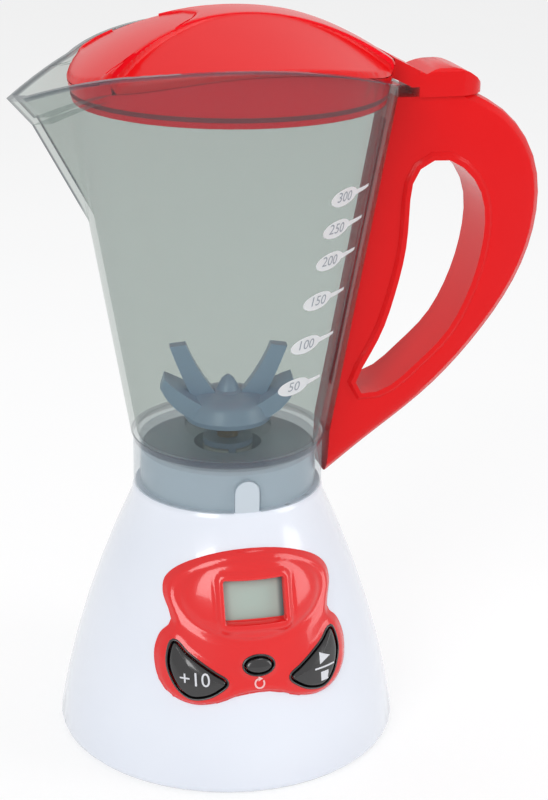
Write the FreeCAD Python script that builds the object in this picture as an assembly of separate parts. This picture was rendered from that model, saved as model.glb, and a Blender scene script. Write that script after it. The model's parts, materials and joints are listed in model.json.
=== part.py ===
import FreeCAD, Part
import math
import os

# Toy jug blender: a bell shaped battery base, a smoke jug with an impeller, a two part
# handle and a lift-off lid. Millimetres. The origin is the middle of the base's foot rim
# on the table, +Z up, +X towards the handle, -X towards the spout, -Y the control panel.

# Base housing
FOOT_R = 52.1            # bell radius just above the rounded foot edge
FOOT_ROUND = 3.0         # rounding of the foot edge
FOOT_RIM = 2.2           # width of the flat rim the toy stands on
MID_R = 44.4             # bell radius at half height
MID_Z = 36.0
NECK_STEP = 0.5          # the bell's neck is this much wider than the jug's skirt
NECK_Z = 76.0
SHOULDER_Z = 79.7        # shelf that carries the jug skirt
HOUSING_WALL = 2.2
BOSS_H = 11.8            # height of the round boss inside the jug skirt
CUP_R = 10.2             # pocket in the boss for the drive coupling
CUP_DEEP = 6.5
CUP_WALL = 1.8
BELL_STEPS = 6           # straight lengths that make up the bell's curve
ROUND_SIDES = 48         # flat sides of the large round shapes

# Jug
SKIRT_R = 28.5           # outside of the jug's skirt
SKIRT_WALL = 1.9
SKIRT_H = 15.9           # from the shelf up to the jug's inside floor
JUG_FLOOR = 2.0
CONE_STEP = 0.58         # the cone is this much wider than the skirt at the floor
CONE_SLOPE = 0.1753      # growth of the radius for each millimetre of height
JUG_WALL = 1.8
RIM_PROUD = 0.7          # the lip band stands this far outside the cone
TIP_X = -62.8            # tip of the pouring lip
TIP_Z = 197.3
RIM_TOP_X = -4.7         # highest point of the arched rim
RIM_TOP_Z = 211.4
RIM_REAR_X = 50.6        # the rim at the handle
RIM_REAR_Z = 198.1
CHIN_X = -55.9           # the lip band's lower point, under the tip
CHIN_Z = 189.6
BAND_TOP_Z = 209.9       # lower edge of the lip band at its highest
BAND_REAR_Z = 196.9
BAND_SIDES = 48
KEEL_X = -40.6           # where the spout's keel leaves the cone
KEEL_Z = 161.3
SPOUT_HALF_DEG = 48.0    # half angle of the V shaped spout
NOTCH_W = 8.0            # arched notch in the skirt, over the key on the boss
NOTCH_H = 10.2
LEDGE_Z = 195.6          # inner ledge that carries the lid
LEDGE_IN = 0.9
LEDGE_DEEP = 1.6
SEAT_R = 13.0            # raised round seat under the impeller
SEAT_H = 2.4
RAIL_W = 5.0             # upright rail on the jug that the handle clasps
RAIL_OUT = 4.5
RAIL_LOW = 12.4          # the rail starts this far above the jug's floor
RAIL_HIGH = 92.4

# Handle: outline points are measured out from the skirt, and up from the table
HANDLE_HALF = 9.0        # half thickness
HANDLE_ROUND = 5.0
ROUND_STEPS = 3
BEAD_W = 2.4             # raised bead around the finger loop
BEAD_H = 0.8
HANDLE_OUTER = [(44.1, 194.9), (51.7, 190.2), (61.6, 177.0), (63.8, 160.6), (59.7, 143.3),
                (47.8, 123.5), (31.4, 105.7), (11.7, 90.5), (1.7, 82.6)]
LOOP = [(10.1, 107.4), (17.2, 108.4), (26.7, 115.8), (34.3, 123.2), (41.5, 135.9),
        (45.7, 152.0), (44.7, 166.4), (38.9, 174.5), (31.9, 177.4), (25.9, 174.9),
        (22.9, 163.5), (22.2, 150.8), (18.7, 135.0), (12.7, 120.0)]
SCREW_SPOTS = [(54.5, 160.0), (29.0, 184.5), (18.0, 99.5)]

# Lid
LID_RISE = 24.9          # the lid's top above the ledge
LID_ARCH_R = 74.6        # arch of the lid from spout to handle
LID_ARCH_X = 2.0
LID_CROWN = 5.0          # fall of the crown at CROWN_REACH from the middle
CROWN_REACH = 50.0
CROWN_STEPS = 10
LID_WALL = 2.0
FACET_FALL = 0.245       # slope of the side facets
FACET_STEP = 0.5
BAND_HALF = 8.6          # half width of the spine band
FACET_R = 60.0           # plan radius of the side facets' inner edge
FACET_X = 5.5
FACET_IN = 8.3
FRONT_EDGE = [(-9.5, 0.0), (-12.2, 6.9), (-18.4, 13.6), (-26.8, 18.6), (-34.3, 21.8),
              (-40.4, 22.8), (-48.0, 24.0)]
TAB_END_X = 73.9
TAB_HALF = 10.2
TAB_ROUND = 2.5
TAB_RISE = 8.2           # height of the thumb tab above the handle's pad
SEAL_H = 1.6             # flat lid seal in a groove
SEAL_PROUD = 0.1
SEAL_DEEP = 1.0
SEAL_UP = 2.4            # middle of the seal above the ledge

# Impeller and drive
HUB_R = 13.6
HUB_H = 13.8             # from the hub's underside to the tip of its spike
HUB_GAP = 0.9            # hub above the seat
PRONG_H = 23.7           # prong tips above the hub's underside
PRONG_HALF = 1.9
WING_R = 20.4
WING_HALF = 8.2
IMPELLER_TURN = -8.5
SHAFT_R = 1.5
BUSH_R = 3.2
BUSH_WALL = 2.2          # housing around the base bush
DOG_R = 7.5
DOG_SLOT = 2.6
DOG_BLADE = 2.1
DOG_FLOOR = 2.1          # solid part of the slotted dog below its slots
DOG_CORE_R = 3.0
DOG_CORE_H = 3.7
MODULE = 0.7
GEAR_TEETH = 36
PINION_TEETH = 12
GEAR_W = 4.0
PLATE_DOWN = 13.7        # the gear plate's underside below the shelf
PLATE_T = 2.0
PLATE_R = 24.5
PLATE_RING = 19.0
MOTOR_R = 10.0
MOTOR_FLAT = 7.7
MOTOR_L = 25.0
MOTOR_CAP = 2.6
MOTOR_SHAFT_R = 1.0
MOTOR_NOSE_R = 3.0

# Control panel
PANEL_T = 1.7            # the panel stands this far outside the bell
PANEL_EDGE = 1.5         # the panel overlaps the bell's opening by this much
PANEL_Z = 46.0           # height of the panel's own origin
PANEL_HALF = [(0.0, 70.0), (9.5, 68.9), (18.3, 65.6), (23.6, 61.3), (24.9, 56.6), (23.5, 51.6),
              (23.6, 48.8), (26.7, 45.2), (28.5, 39.6), (27.8, 33.2), (24.2, 29.0), (18.6, 27.4),
              (12.0, 28.3), (5.5, 30.5), (0.0, 31.1)]
PANEL_SIDES = 56
BROW_Z = 57.2            # raised oval around the display
BROW_HALF = (20.5, 11.0)
BROW_H = 0.6
LCD_Z = 56.65
LCD_W = 18.2
LCD_H = 12.2
CELL_T = 1.8
CELL_DEEP = 1.7          # front of the display below the panel's origin plane
CELL_EDGE = 1.6          # the display reaches this far behind the window's frame
RAIL_EDGE = 1.5
BUTTON_PROUD = 0.9
BUTTON_TRAVEL = 0.8
BUTTON_BACK = 8.8        # depth of the buttons' stems behind the bell
BUTTON_FLANGE = 0.8      # the flange behind the panel that keeps a button in
BUTTON_GAP = 0.3
BUTTON_THICK = 1.5
BUTTON_EDGE = [(23.3, 44.6), (20.4, 41.9), (16.4, 39.0), (13.0, 36.7), (9.9, 34.6), (12.0, 32.5),
               (15.6, 30.7), (19.9, 30.3), (23.0, 32.6), (24.8, 36.6), (24.9, 40.6)]
STEM_R = 1.8
RESET_Z = 39.1
RESET_HALF = (3.95, 2.1)
BUTTON_AT = [(-18.0, 36.5), (18.0, 36.5), (0.0, RESET_Z)]
PANEL_POSTS = [(15.2, 57.0), (-15.2, 57.0), (7.6, 43.2), (-7.6, 43.2)]
PANEL_POST_R = 2.0
PANEL_SCREW_R = 0.9
BOARD_DEEP = 11.0
BOARD_T = 1.6
BOARD_HALF = 21.0
BOARD_LOW_Z = 28.2
BOARD_HIGH_Z = 64.0

# Bottom, batteries and screws
COVER_Z = 1.2
COVER_T = 2.0
DOOR_T = 1.0
CELL_R = 7.25            # two round cells
CELL_L = 49.3
NUB_R = 2.75
NUB_L = 1.2
SPRING_L = 6.6
CONTACT_T = 0.5
TRAY_WALL = 1.5
TRAY_GAP = 0.2           # around each cell
SCREW_R = 1.3
SCREW_HEAD_R = 2.6
SCREW_HEAD_H = 1.6
POST_R = 3.3
POST_IN = 6.7            # screw posts this far inside the cover's edge
PILOT = 12.0             # length of the screws' pilot holes

# Fits
GAP = 0.4                # between pieces of different bodies
SNUG = 0.2               # between fixed pieces
RUN = 0.05               # radial running clearance of the shafts
FREE = 0.3               # between the two dogs, and under the hub

# Heights that follow from these
JUG_FLOOR_Z = SHOULDER_Z + SKIRT_H
BOSS_TOP_Z = SHOULDER_Z + BOSS_H
CUP_FLOOR_Z = BOSS_TOP_Z - CUP_DEEP
SEAT_TOP_Z = JUG_FLOOR_Z + SEAT_H
HUB_Z = SEAT_TOP_Z + HUB_GAP
LID_TOP_Z = LEDGE_Z + LID_RISE
PLATE_Z = SHOULDER_Z - PLATE_DOWN
GEAR_Z = PLATE_Z + PLATE_T + 1.2
SLOT_Z = CUP_FLOOR_Z + FREE + DOG_FLOOR
DISC_Z = BOSS_TOP_Z + 0.1
UNDER_Z = JUG_FLOOR_Z - JUG_FLOOR - FREE
HIGH = 260.0             # above everything


def vec(x, y, z):
    return FreeCAD.Vector(x, y, z)


def rz(r, z):
    return vec(r, 0, z)


def line(a, b):
    return Part.LineSegment(a, b).toShape()


def arc(a, b, c):
    return Part.Arc(a, b, c).toShape()


def polyline(points):
    return [line(a, b) for a, b in zip(points, points[1:])]


def ring_wire(points):
    return Part.makePolygon(list(points) + [points[0]])


def cylinder(r, low, high, x=0.0, y=0.0):
    return Part.makeCylinder(r, high - low, vec(x, y, low))


def ring(r, z, sides=ROUND_SIDES, x=0.0, y=0.0):
    turns = [2 * math.pi * (k + 0.5) / sides for k in range(sides)]
    return [vec(x + r * math.cos(a), y + r * math.sin(a), z) for a in turns]


def rod(r, low, high, x=0.0, y=0.0, sides=8):
    """A small round piece with few sides, inside a circle of radius r."""
    return Part.Face(ring_wire(ring(r, low, sides, x, y))).extrude(vec(0, 0, high - low))


def drum(r, low, high):
    """A large round piece around the middle axis."""
    return rod(r, low, high, 0, 0, ROUND_SIDES)


def turned(points, sides=ROUND_SIDES):
    """A round body through the given (radius, height) sizes, from low to high."""
    return stack([ring(r, z, sides) for r, z in points])


def box(x0, x1, y0, y1, z0, z1):
    return Part.makeBox(x1 - x0, y1 - y0, z1 - z0, vec(x0, y0, z0))


def prism(edges, direction):
    return Part.Face(Part.Wire(edges)).extrude(direction)


def fuse(shapes):
    return shapes[0].multiFuse(shapes[1:]).removeSplitter()


def jug_r(z):
    return SKIRT_R + CONE_STEP + CONE_SLOPE * (z - JUG_FLOOR_Z)


def circle_through(a, b, c):
    centre = arc(a, b, c).Curve.Center
    return centre.x, centre.z, centre.distanceToPoint(a)


def smooth_points(points, count, closed=True):
    """Evenly spread points on a smooth curve through the given ones."""
    curve = Part.BSplineCurve()
    curve.interpolate([rz(x, z) for x, z in points], PeriodicFlag=closed)
    found = curve.discretize(count + 1 if closed else count)
    if closed:
        found = found[:-1]
    return [(p.x, p.z) for p in found]


def grown(points, by, closed=True):
    """Points moved outwards by the given amount; they run anticlockwise in x and z."""
    out = []
    last = len(points) - 1
    for k, (x, z) in enumerate(points):
        x0, z0 = points[k - 1] if closed or k else points[0]
        x1, z1 = points[(k + 1) % len(points)] if closed or k < last else points[last]
        length = math.hypot(x1 - x0, z1 - z0)
        out.append((x + by * (z1 - z0) / length, z - by * (x1 - x0) / length))
    return out


def flat_faces(a, b, c, d):
    """One flat face through four corners, or two where they aren't in one plane."""
    if abs((b - a).cross(c - a).normalize().dot(d - a)) < 1e-9:
        return [Part.Face(ring_wire([a, b, c, d]))]
    return [Part.Face(ring_wire([a, b, c])), Part.Face(ring_wire([a, c, d]))]


def stack(rings):
    """A solid with flat sides through closed rings of as many points each."""
    faces = [Part.Face(ring_wire(rings[0])), Part.Face(ring_wire(rings[-1]))]
    for low, high in zip(rings, rings[1:]):
        for k in range(len(low)):
            faces += flat_faces(low[k - 1], low[k], high[k], high[k - 1])
    shell = Part.makeShell(faces)
    shell.sewShape()
    solid = Part.Solid(Part.Shell(shell.Faces))
    return solid if solid.Volume > 0 else solid.reversed()


# The bell

def neck_r():
    return SKIRT_R + NECK_STEP


def bell_r(z):
    """The bell's radius, on one smooth curve through its foot, middle and neck."""
    known = [(FOOT_ROUND, FOOT_R), (MID_Z, MID_R), (NECK_Z, neck_r())]
    total = 0.0
    for z0, r0 in known:
        share = 1.0
        for z1 in [other for other, r in known if other != z0]:
            share *= (z - z1) / (z0 - z1)
        total += r0 * share
    return total


def bell_side(shift, low=FOOT_ROUND, steps=BELL_STEPS):
    heights = [low + (NECK_Z - low) * k / steps for k in range(steps + 1)]
    return [(bell_r(z) + shift, z) for z in heights]


def bell_body(shift):
    return turned(bell_side(shift))


def boss_r():
    return SKIRT_R - SKIRT_WALL - GAP


def cover_r():
    return FOOT_R - FOOT_ROUND - FOOT_RIM - SNUG


def housing_outside():
    r, c = FOOT_ROUND, FOOT_R - FOOT_ROUND
    turns = [math.radians(a) for a in (0, 30, 60)]
    foot = [(c + r * math.sin(a), r - r * math.cos(a)) for a in turns]
    lip = [(neck_r() - 0.15, (NECK_Z + SHOULDER_Z) / 2), (neck_r() - 0.5, SHOULDER_Z - 0.7),
           (SKIRT_R - 0.6, SHOULDER_Z)]
    boss = [(boss_r(), SHOULDER_Z - 1), (boss_r(), BOSS_TOP_Z - 0.8), (boss_r() - 0.8, BOSS_TOP_Z)]
    return fuse([turned(foot + bell_side(0) + lip), turned(boss)])


def housing_inside():
    shelf = SHOULDER_Z - HOUSING_WALL
    inner = boss_r() - HOUSING_WALL
    seat = COVER_Z + COVER_T
    side = bell_side(-HOUSING_WALL, seat, BELL_STEPS // 2 + 1)
    neck = (neck_r() - HOUSING_WALL, (NECK_Z + shelf) / 2)
    hollow = turned(side + [neck, (inner, shelf)])
    return fuse([drum(cover_r() + SNUG, -1, seat), hollow,
                 drum(inner, shelf - 0.5, BOSS_TOP_Z - HOUSING_WALL)])


def ring_spots(radius, turns):
    angles = [math.radians(a) for a in turns]
    return [(radius * math.cos(a), radius * math.sin(a)) for a in angles]


def post_spots():
    return ring_spots(cover_r() - POST_IN, (45, 135, 225, 315))


def plate_spots():
    return ring_spots(PLATE_RING, (30, 150, 270))


def notch(width, top):
    half = width / 2
    far = -SKIRT_R - 2
    low = SHOULDER_Z - 1
    spring = top - half
    turns = [math.radians(180 - 22.5 * k) for k in range(9)]
    points = [vec(half * math.cos(a), far, spring + half * math.sin(a)) for a in turns]
    points += [vec(half, far, low), vec(-half, far, low)]
    return Part.Face(ring_wire(points)).extrude(vec(0, SKIRT_R / 2, 0))


def notch_top():
    return SHOULDER_Z + NOTCH_H


def base_housing():
    outside = housing_outside()
    shell = outside.cut(housing_inside())
    key = notch(NOTCH_W - 2 * GAP, notch_top() - GAP)
    key_zone = drum(SKIRT_R - 0.3, SHOULDER_Z, BOSS_TOP_Z).cut(drum(boss_r() - 1, 0, HIGH))
    parts = [shell, key.common(key_zone)]
    parts.append(rod(CUP_R + CUP_WALL, CUP_FLOOR_Z - 2.5, BOSS_TOP_Z, 0, 0, 24))
    parts.append(rod(BUSH_R + BUSH_WALL, SHOULDER_Z - 2.7, CUP_FLOOR_Z, 0, 0, 16))
    for x, y in post_spots():
        parts.append(rod(POST_R, COVER_Z + COVER_T, MID_Z + 24, x, y, 12).common(outside))
    for x, y in plate_spots():
        parts.append(rod(POST_R, PLATE_Z + PLATE_T, BOSS_TOP_Z - 1, x, y, 12))
    body = fuse(parts)
    cuts = [rod(CUP_R, CUP_FLOOR_Z, HIGH, 0, 0, 36), rod(BUSH_R, PLATE_Z, HIGH, 0, 0, 16)]
    for x, y in post_spots():
        cuts.append(rod(SCREW_R, 0, COVER_Z + COVER_T + PILOT + 1, x, y))
    for x, y in plate_spots():
        cuts.append(rod(SCREW_R, PLATE_Z - 5, PLATE_Z + PILOT, x, y))
    cuts.append(panel_prism(-PANEL_EDGE, 20, 20))
    return body.cut(cuts)


# The panel's own frame: u to the right, v up the slope, n out of the bell

PANEL_TILT = math.atan2(bell_r(PANEL_Z - 1) - bell_r(PANEL_Z + 1), 2)


def panel_place():
    turn = FreeCAD.Rotation(vec(1, 0, 0), 90 - math.degrees(PANEL_TILT))
    return FreeCAD.Placement(vec(0, -bell_r(PANEL_Z), PANEL_Z), turn)


def on_panel(shape):
    shape.Placement = panel_place().multiply(shape.Placement)
    return shape


def panel_v(z, x=0.0):
    """Where the point of the panel's face at this x and height lies up the panel's slope."""
    y = -math.sqrt((bell_r(z) + PANEL_T) ** 2 - x * x)
    return (y + bell_r(PANEL_Z)) * math.sin(PANEL_TILT) + (z - PANEL_Z) * math.cos(PANEL_TILT)


def flat_on_panel(points):
    return [(x, panel_v(z, x)) for x, z in points]


def outline_prism(points, deep, high):
    """A straight sided block through the panel, from its flat outline."""
    wire = ring_wire([vec(u, v, -deep) for u, v in points])
    return on_panel(Part.Face(wire).extrude(vec(0, 0, deep + high)))


def panel_prism(grow, deep, high):
    right = list(reversed(PANEL_HALF))
    left = [(-x, z) for x, z in PANEL_HALF[1:-1]]
    points = smooth_points(flat_on_panel(right + left), PANEL_SIDES)
    return outline_prism(grown(points, grow), deep, high)


def oval(z, half, grow=0.0, sides=24):
    turns = [2 * math.pi * (k + 0.5) / sides for k in range(sides)]
    middle = panel_v(z)
    return [((half[0] + grow) * math.cos(a), middle + (half[1] + grow) * math.sin(a)) for a in turns]


def button_outline(side, grow):
    points = flat_on_panel(BUTTON_EDGE)
    if side < 0:
        points = [(-u, v) for u, v in reversed(points)]
    return grown(points, grow)


def outline_of(name, grow):
    if name == "reset":
        return oval(RESET_Z, RESET_HALF, grow)
    return button_outline(-1 if name == "add" else 1, grow)


def button_spot(name):
    x, z = BUTTON_AT[("add", "start", "reset").index(name)]
    return x, panel_v(z, x)


def button(name):
    cap = outline_prism(outline_of(name, 0), 16, 8)
    back = bell_body(-BUTTON_THICK)
    cap = cap.common(bell_body(PANEL_T + BUTTON_PROUD).cut(back))
    flange = outline_prism(outline_of(name, BUTTON_FLANGE), 16, 8)
    flange = flange.common(bell_body(-BUTTON_GAP).cut(back))
    u, v = button_spot(name)
    stem = local_rod(STEM_R, u, v, -1, BUTTON_BACK).common(bell_body(-0.5))
    return fuse([cap, flange, stem])


def panel_posts():
    return [(x, panel_v(z, x)) for x, z in PANEL_POSTS]


def local_box(u, v, half_u, half_v, deep_a, deep_b):
    return on_panel(Part.makeBox(2 * half_u, 2 * half_v, deep_b - deep_a,
                                 vec(u - half_u, v - half_v, -deep_b)))


def local_rod(r, u, v, deep_a, deep_b, sides=8):
    return on_panel(rod(r, -deep_b, -deep_a, u, v, sides))


def cell_half():
    return LCD_W / 2 + CELL_EDGE, LCD_H / 2 + CELL_EDGE


def control_panel():
    plate = panel_prism(0, 20, 8).common(bell_body(PANEL_T).cut(bell_body(0)))
    brow_zone = bell_body(PANEL_T + BROW_H).cut(bell_body(PANEL_T - 0.2))
    brow = outline_prism(oval(BROW_Z, BROW_HALF, 0.0, 36), 12, 8).common(brow_zone)
    v = panel_v(LCD_Z)
    half_u, half_v = cell_half()
    back = CELL_DEEP + CELL_T
    inside = bell_body(0.1)
    rails = local_box(0, v, half_u + RAIL_EDGE, half_v + RAIL_EDGE, -0.2, back).common(inside)
    posts = [local_rod(PANEL_POST_R, u, w, -0.5, BOARD_DEEP).common(inside)
             for u, w in panel_posts()]
    body = fuse([plate, brow, rails] + posts)
    cuts = [local_box(0, v, LCD_W / 2, LCD_H / 2, -9, 9)]
    cuts.append(local_box(0, v, half_u, half_v, CELL_DEEP, 20))
    cuts += [outline_prism(outline_of(n, BUTTON_GAP), 20, 9) for n in ("add", "start", "reset")]
    cuts += [local_rod(PANEL_SCREW_R, u, w, BOARD_DEEP - 6, BOARD_DEEP + 1, 8) for u, w in panel_posts()]
    return body.cut(cuts)


def display_cell():
    half_u, half_v = cell_half()
    return local_box(0, panel_v(LCD_Z), half_u - SNUG / 2, half_v - SNUG / 2,
                     CELL_DEEP, CELL_DEEP + CELL_T)


def display_connector():
    v = panel_v(LCD_Z) - cell_half()[1] + 1.6
    return local_box(0, v, LCD_W / 2, 1.2, CELL_DEEP + CELL_T, BOARD_DEEP)


def circuit_board():
    low, high = panel_v(BOARD_LOW_Z), panel_v(BOARD_HIGH_Z)
    half_v = (high - low) / 2
    board = local_box(0, low + half_v, BOARD_HALF, half_v, BOARD_DEEP, BOARD_DEEP + BOARD_T)
    holes = [local_rod(PANEL_SCREW_R + SNUG, u, w, 0, 20, 8) for u, w in panel_posts()]
    return board.cut(holes)


def board_screws():
    out = []
    back = BOARD_DEEP + BOARD_T
    for u, w in panel_posts():
        shank = local_rod(PANEL_SCREW_R, u, w, BOARD_DEEP - 5, back + 0.2, 8)
        out.append(fuse([shank, local_rod(PANEL_SCREW_R + 1.0, u, w, back, back + 1.3)]))
    return Part.makeCompound(out)


def button_domes():
    top = BUTTON_BACK + BUTTON_TRAVEL + 0.1
    step = (top + BOARD_DEEP) / 2
    domes = []
    for name in ("add", "start", "reset"):
        u, v = button_spot(name)
        foot = local_rod(3.0, u, v, step, BOARD_DEEP)
        domes.append(fuse([foot, local_rod(STEM_R, u, v, top, step + 0.1)]))
    return Part.makeCompound(domes)


# Bottom cover, battery tray and cells

def tray_size():
    half_x = (CONTACT_T + SPRING_L + CELL_L + NUB_L + CONTACT_T) / 2
    deep = 2 * CELL_R + 2 * TRAY_GAP
    return half_x, deep + 0.5, COVER_Z + COVER_T + deep + 0.5


def door_screw_x():
    return tray_size()[0] + SCREW_R * 2


def bottom_cover():
    half_x, half_y, top = tray_size()
    seat = COVER_Z + COVER_T
    w = TRAY_WALL
    x = door_screw_x()
    disc = drum(cover_r(), COVER_Z, seat)
    tray = box(-half_x - w, half_x + w, -half_y - w, half_y + w, seat - 0.5, top + w)
    lug = rod(SCREW_R + 1.7, seat - 0.5, seat + 6, x, 0)
    body = fuse([disc, tray, lug]).cut(box(-half_x, half_x, -half_y, half_y, -1, top))
    ledge = box(-half_x - w, x + 1.5, -half_y - w, half_y + w, -1, COVER_Z + DOOR_T)
    cuts = [ledge, rod(SCREW_R, 0, seat + 5, x, 0)]
    cuts += [rod(SCREW_R + 0.2, 0, 9, x, y) for x, y in post_spots()]
    cuts += [rod(SCREW_HEAD_R + 0.3, 0, COVER_Z + 1.0, x, y) for x, y in post_spots()]
    return body.cut(cuts)


def battery_door():
    half_x, half_y, top = tray_size()
    w = TRAY_WALL - SNUG
    x = door_screw_x()
    high = COVER_Z + DOOR_T
    plate = box(-half_x - w, x + 1.3, -half_y - w, half_y + w, COVER_Z, high)
    plug = box(-half_x + SNUG, half_x - SNUG, -half_y + SNUG, half_y - SNUG, COVER_Z, high + 0.9)
    ribs = [box(8 * k - 20, 8 * k - 16, -9, 9, COVER_Z - 0.1, COVER_Z + 0.5) for k in range(5)]
    return fuse([plate, plug]).cut(ribs + [rod(SCREW_R + 0.2, 0, 9, x, 0)])


def screw(x, y, head_r, head_low, seat, top):
    head = rod(head_r, head_low, seat, x, y)
    shank = rod(SCREW_R, seat - 0.2, top, x, y)
    slot = box(x - head_r, x + head_r, y - 0.35, y + 0.35, head_low - 1, head_low + 0.5)
    return fuse([head, shank]).cut(slot)


def door_screw():
    seat = COVER_Z
    return screw(door_screw_x(), 0, SCREW_R + 0.6, seat - 1.0, seat, COVER_Z + COVER_T + 5)


def cover_screws():
    seat = COVER_Z + 1.0
    top = COVER_Z + COVER_T + PILOT
    return Part.makeCompound([screw(x, y, SCREW_HEAD_R, seat - SCREW_HEAD_H, seat, top)
                              for x, y in post_spots()])


def along_x(shape):
    """Lays a piece that stands on the origin down along +X."""
    shape.rotate(vec(0, 0, 0), vec(0, 1, 0), 90)
    return shape


def cell_z():
    return COVER_Z + COVER_T + TRAY_GAP + CELL_R


def laid_in_tray(shape, start, side):
    shape.translate(vec(start, 0, cell_z()))
    if side < 0:
        shape.rotate(vec(0, 0, 0), vec(0, 0, 1), 180)
    shape.translate(vec(0, side * (CELL_R + TRAY_GAP), 0))
    return shape


def battery(side):
    can = rod(CELL_R, 0, CELL_L, 0, 0, 24)
    nub = rod(NUB_R, CELL_L - 0.2, CELL_L + NUB_L)
    start = -tray_size()[0] + CONTACT_T + SPRING_L
    return laid_in_tray(along_x(fuse([can, nub])), start, side)


def batteries():
    return Part.makeCompound([battery(1), battery(-1)])


def battery_contacts():
    half_x = tray_size()[0]
    half = CELL_R - 1.3
    parts = []
    for side in (1, -1):
        plate = box(-half, half, -half, half, 0, CONTACT_T)
        end = CONTACT_T + SPRING_L
        coil = turned([(4.6, CONTACT_T - 0.1), (2.6, end)], 16)
        core = turned([(4.0, CONTACT_T), (2.0, end + 0.1)], 16)
        spring = fuse([plate, coil]).cut(core)
        parts.append(laid_in_tray(along_x(spring), -half_x, side))
        far = box(-half, half, -half, half, 0, CONTACT_T)
        parts.append(laid_in_tray(along_x(far), half_x - CONTACT_T, side))
    return Part.makeCompound(parts)


# Motor, gears and coupling

def motor_y():
    return MODULE * (GEAR_TEETH + PINION_TEETH) / 2


def gearbox_plate():
    plate = rod(PLATE_R, PLATE_Z, PLATE_Z + PLATE_T, 0, 0, 40)
    collar = rod(BUSH_R + 1.0, PLATE_Z - 4, PLATE_Z + 0.1, 0, 0, 16)
    nose = rod(MOTOR_NOSE_R + 0.1, 0, HIGH, 0, motor_y(), 16)
    cuts = [cylinder(SHAFT_R + RUN, 0, HIGH), nose]
    cuts += [rod(SCREW_R + 0.2, 0, HIGH, x, y) for x, y in plate_spots()]
    return fuse([plate, collar]).cut(cuts)


def plate_screws():
    return Part.makeCompound([screw(x, y, SCREW_HEAD_R, PLATE_Z - SCREW_HEAD_H, PLATE_Z,
                                    PLATE_Z + PILOT - 1) for x, y in plate_spots()])


def motor_can():
    y = motor_y()
    can = cylinder(MOTOR_R, PLATE_Z - MOTOR_L, PLATE_Z, 0, y)
    can = can.common(box(-MOTOR_R, MOTOR_R, y - MOTOR_FLAT, y + MOTOR_FLAT, 0, HIGH))
    nose = rod(MOTOR_NOSE_R, PLATE_Z - 0.1, PLATE_Z + 1.5, 0, y, 16)
    return fuse([can, nose]).cut(cylinder(MOTOR_SHAFT_R + RUN, 0, HIGH, 0, y))


def motor_cap():
    y = motor_y()
    high = PLATE_Z - MOTOR_L
    low = high - MOTOR_CAP
    flat = MOTOR_FLAT - 0.4
    cap = cylinder(MOTOR_R - 0.4, low, high, 0, y)
    cap = cap.common(box(-MOTOR_R, MOTOR_R, y - flat, y + flat, 0, HIGH))
    tabs = [box(x - 0.3, x + 0.3, y - 2, y + 2, low - 3, low + 0.1) for x in (-6, 6)]
    return fuse([cap] + tabs).cut(cylinder(MOTOR_SHAFT_R + RUN, 0, HIGH, 0, y))


def involute(base, r):
    return math.sqrt((r / base) ** 2 - 1) - math.acos(base / r)


def gear_solid(teeth, start, low, high):
    pitch = MODULE * teeth / 2
    base = pitch * math.cos(math.radians(20))
    tip = pitch + 0.8 * MODULE
    root = pitch - MODULE
    half = (math.pi * MODULE / 2 - 0.12) / (2 * pitch)
    foot = max(base, root) * 1.0005
    flank = [(r, half + involute(base, pitch) - involute(base, r))
             for r in (foot, tip)]
    side = [(root, flank[0][1] + 0.01)] + flank
    points = []
    for k in range(teeth):
        mid = math.radians(start) + 2 * math.pi * k / teeth
        points += [(r, mid - a) for r, a in side]
        points += [(r, mid + a) for r, a in reversed(side)]
    ring = [vec(r * math.cos(a), r * math.sin(a), low) for r, a in points]
    return Part.Face(ring_wire(ring)).extrude(vec(0, 0, high - low))


def drive_gear():
    high = GEAR_Z + GEAR_W
    gear = gear_solid(GEAR_TEETH, 0, GEAR_Z, high)
    hub = rod(SHAFT_R + 2.5, GEAR_Z - 0.9, high + 3.0, 0, 0, 20)
    reach = MODULE * GEAR_TEETH / 2
    holes = [rod(reach * 0.17, 0, HIGH, x, y)
             for x, y in ring_spots(reach * 0.64, (0, 72, 144, 216, 288))]
    return fuse([gear, hub]).cut([cylinder(SHAFT_R, 0, HIGH)] + holes)


def motor_pinion():
    turn = 180.0 / PINION_TEETH
    gear = gear_solid(PINION_TEETH, turn, GEAR_Z - 1.0, GEAR_Z + GEAR_W + 0.5)
    gear.translate(vec(0, motor_y(), 0))
    return gear.cut(cylinder(MOTOR_SHAFT_R, 0, HIGH, 0, motor_y()))


def motor_shaft():
    low = PLATE_Z - MOTOR_L - MOTOR_CAP - 1.0
    return cylinder(MOTOR_SHAFT_R, low, GEAR_Z + GEAR_W + 1.0, 0, motor_y())


def drive_shaft():
    return cylinder(SHAFT_R, PLATE_Z - 5.0, SLOT_Z)


def base_bush():
    bush = rod(BUSH_R, SHOULDER_Z - 3.2, CUP_FLOOR_Z, 0, 0, 16)
    return bush.cut(cylinder(SHAFT_R + RUN, 0, HIGH))


def cross(slot, low, high, reach):
    half = slot / 2
    one = box(-reach, reach, -half, half, low, high)
    return fuse([one, box(-half, half, -reach, reach, low, high)])


def drive_dog():
    body = rod(DOG_R, CUP_FLOOR_Z + FREE, BOSS_TOP_Z - 0.5, 0, 0, 28)
    relief = rod(DOG_CORE_R + GAP, core_z() - GAP, HIGH, 0, 0, 16)
    return body.cut([cross(DOG_SLOT, SLOT_Z, HIGH, 2 * DOG_R), relief, cylinder(SHAFT_R, 0, SLOT_Z)])


def core_z():
    return UNDER_Z - DOG_CORE_H


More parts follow.
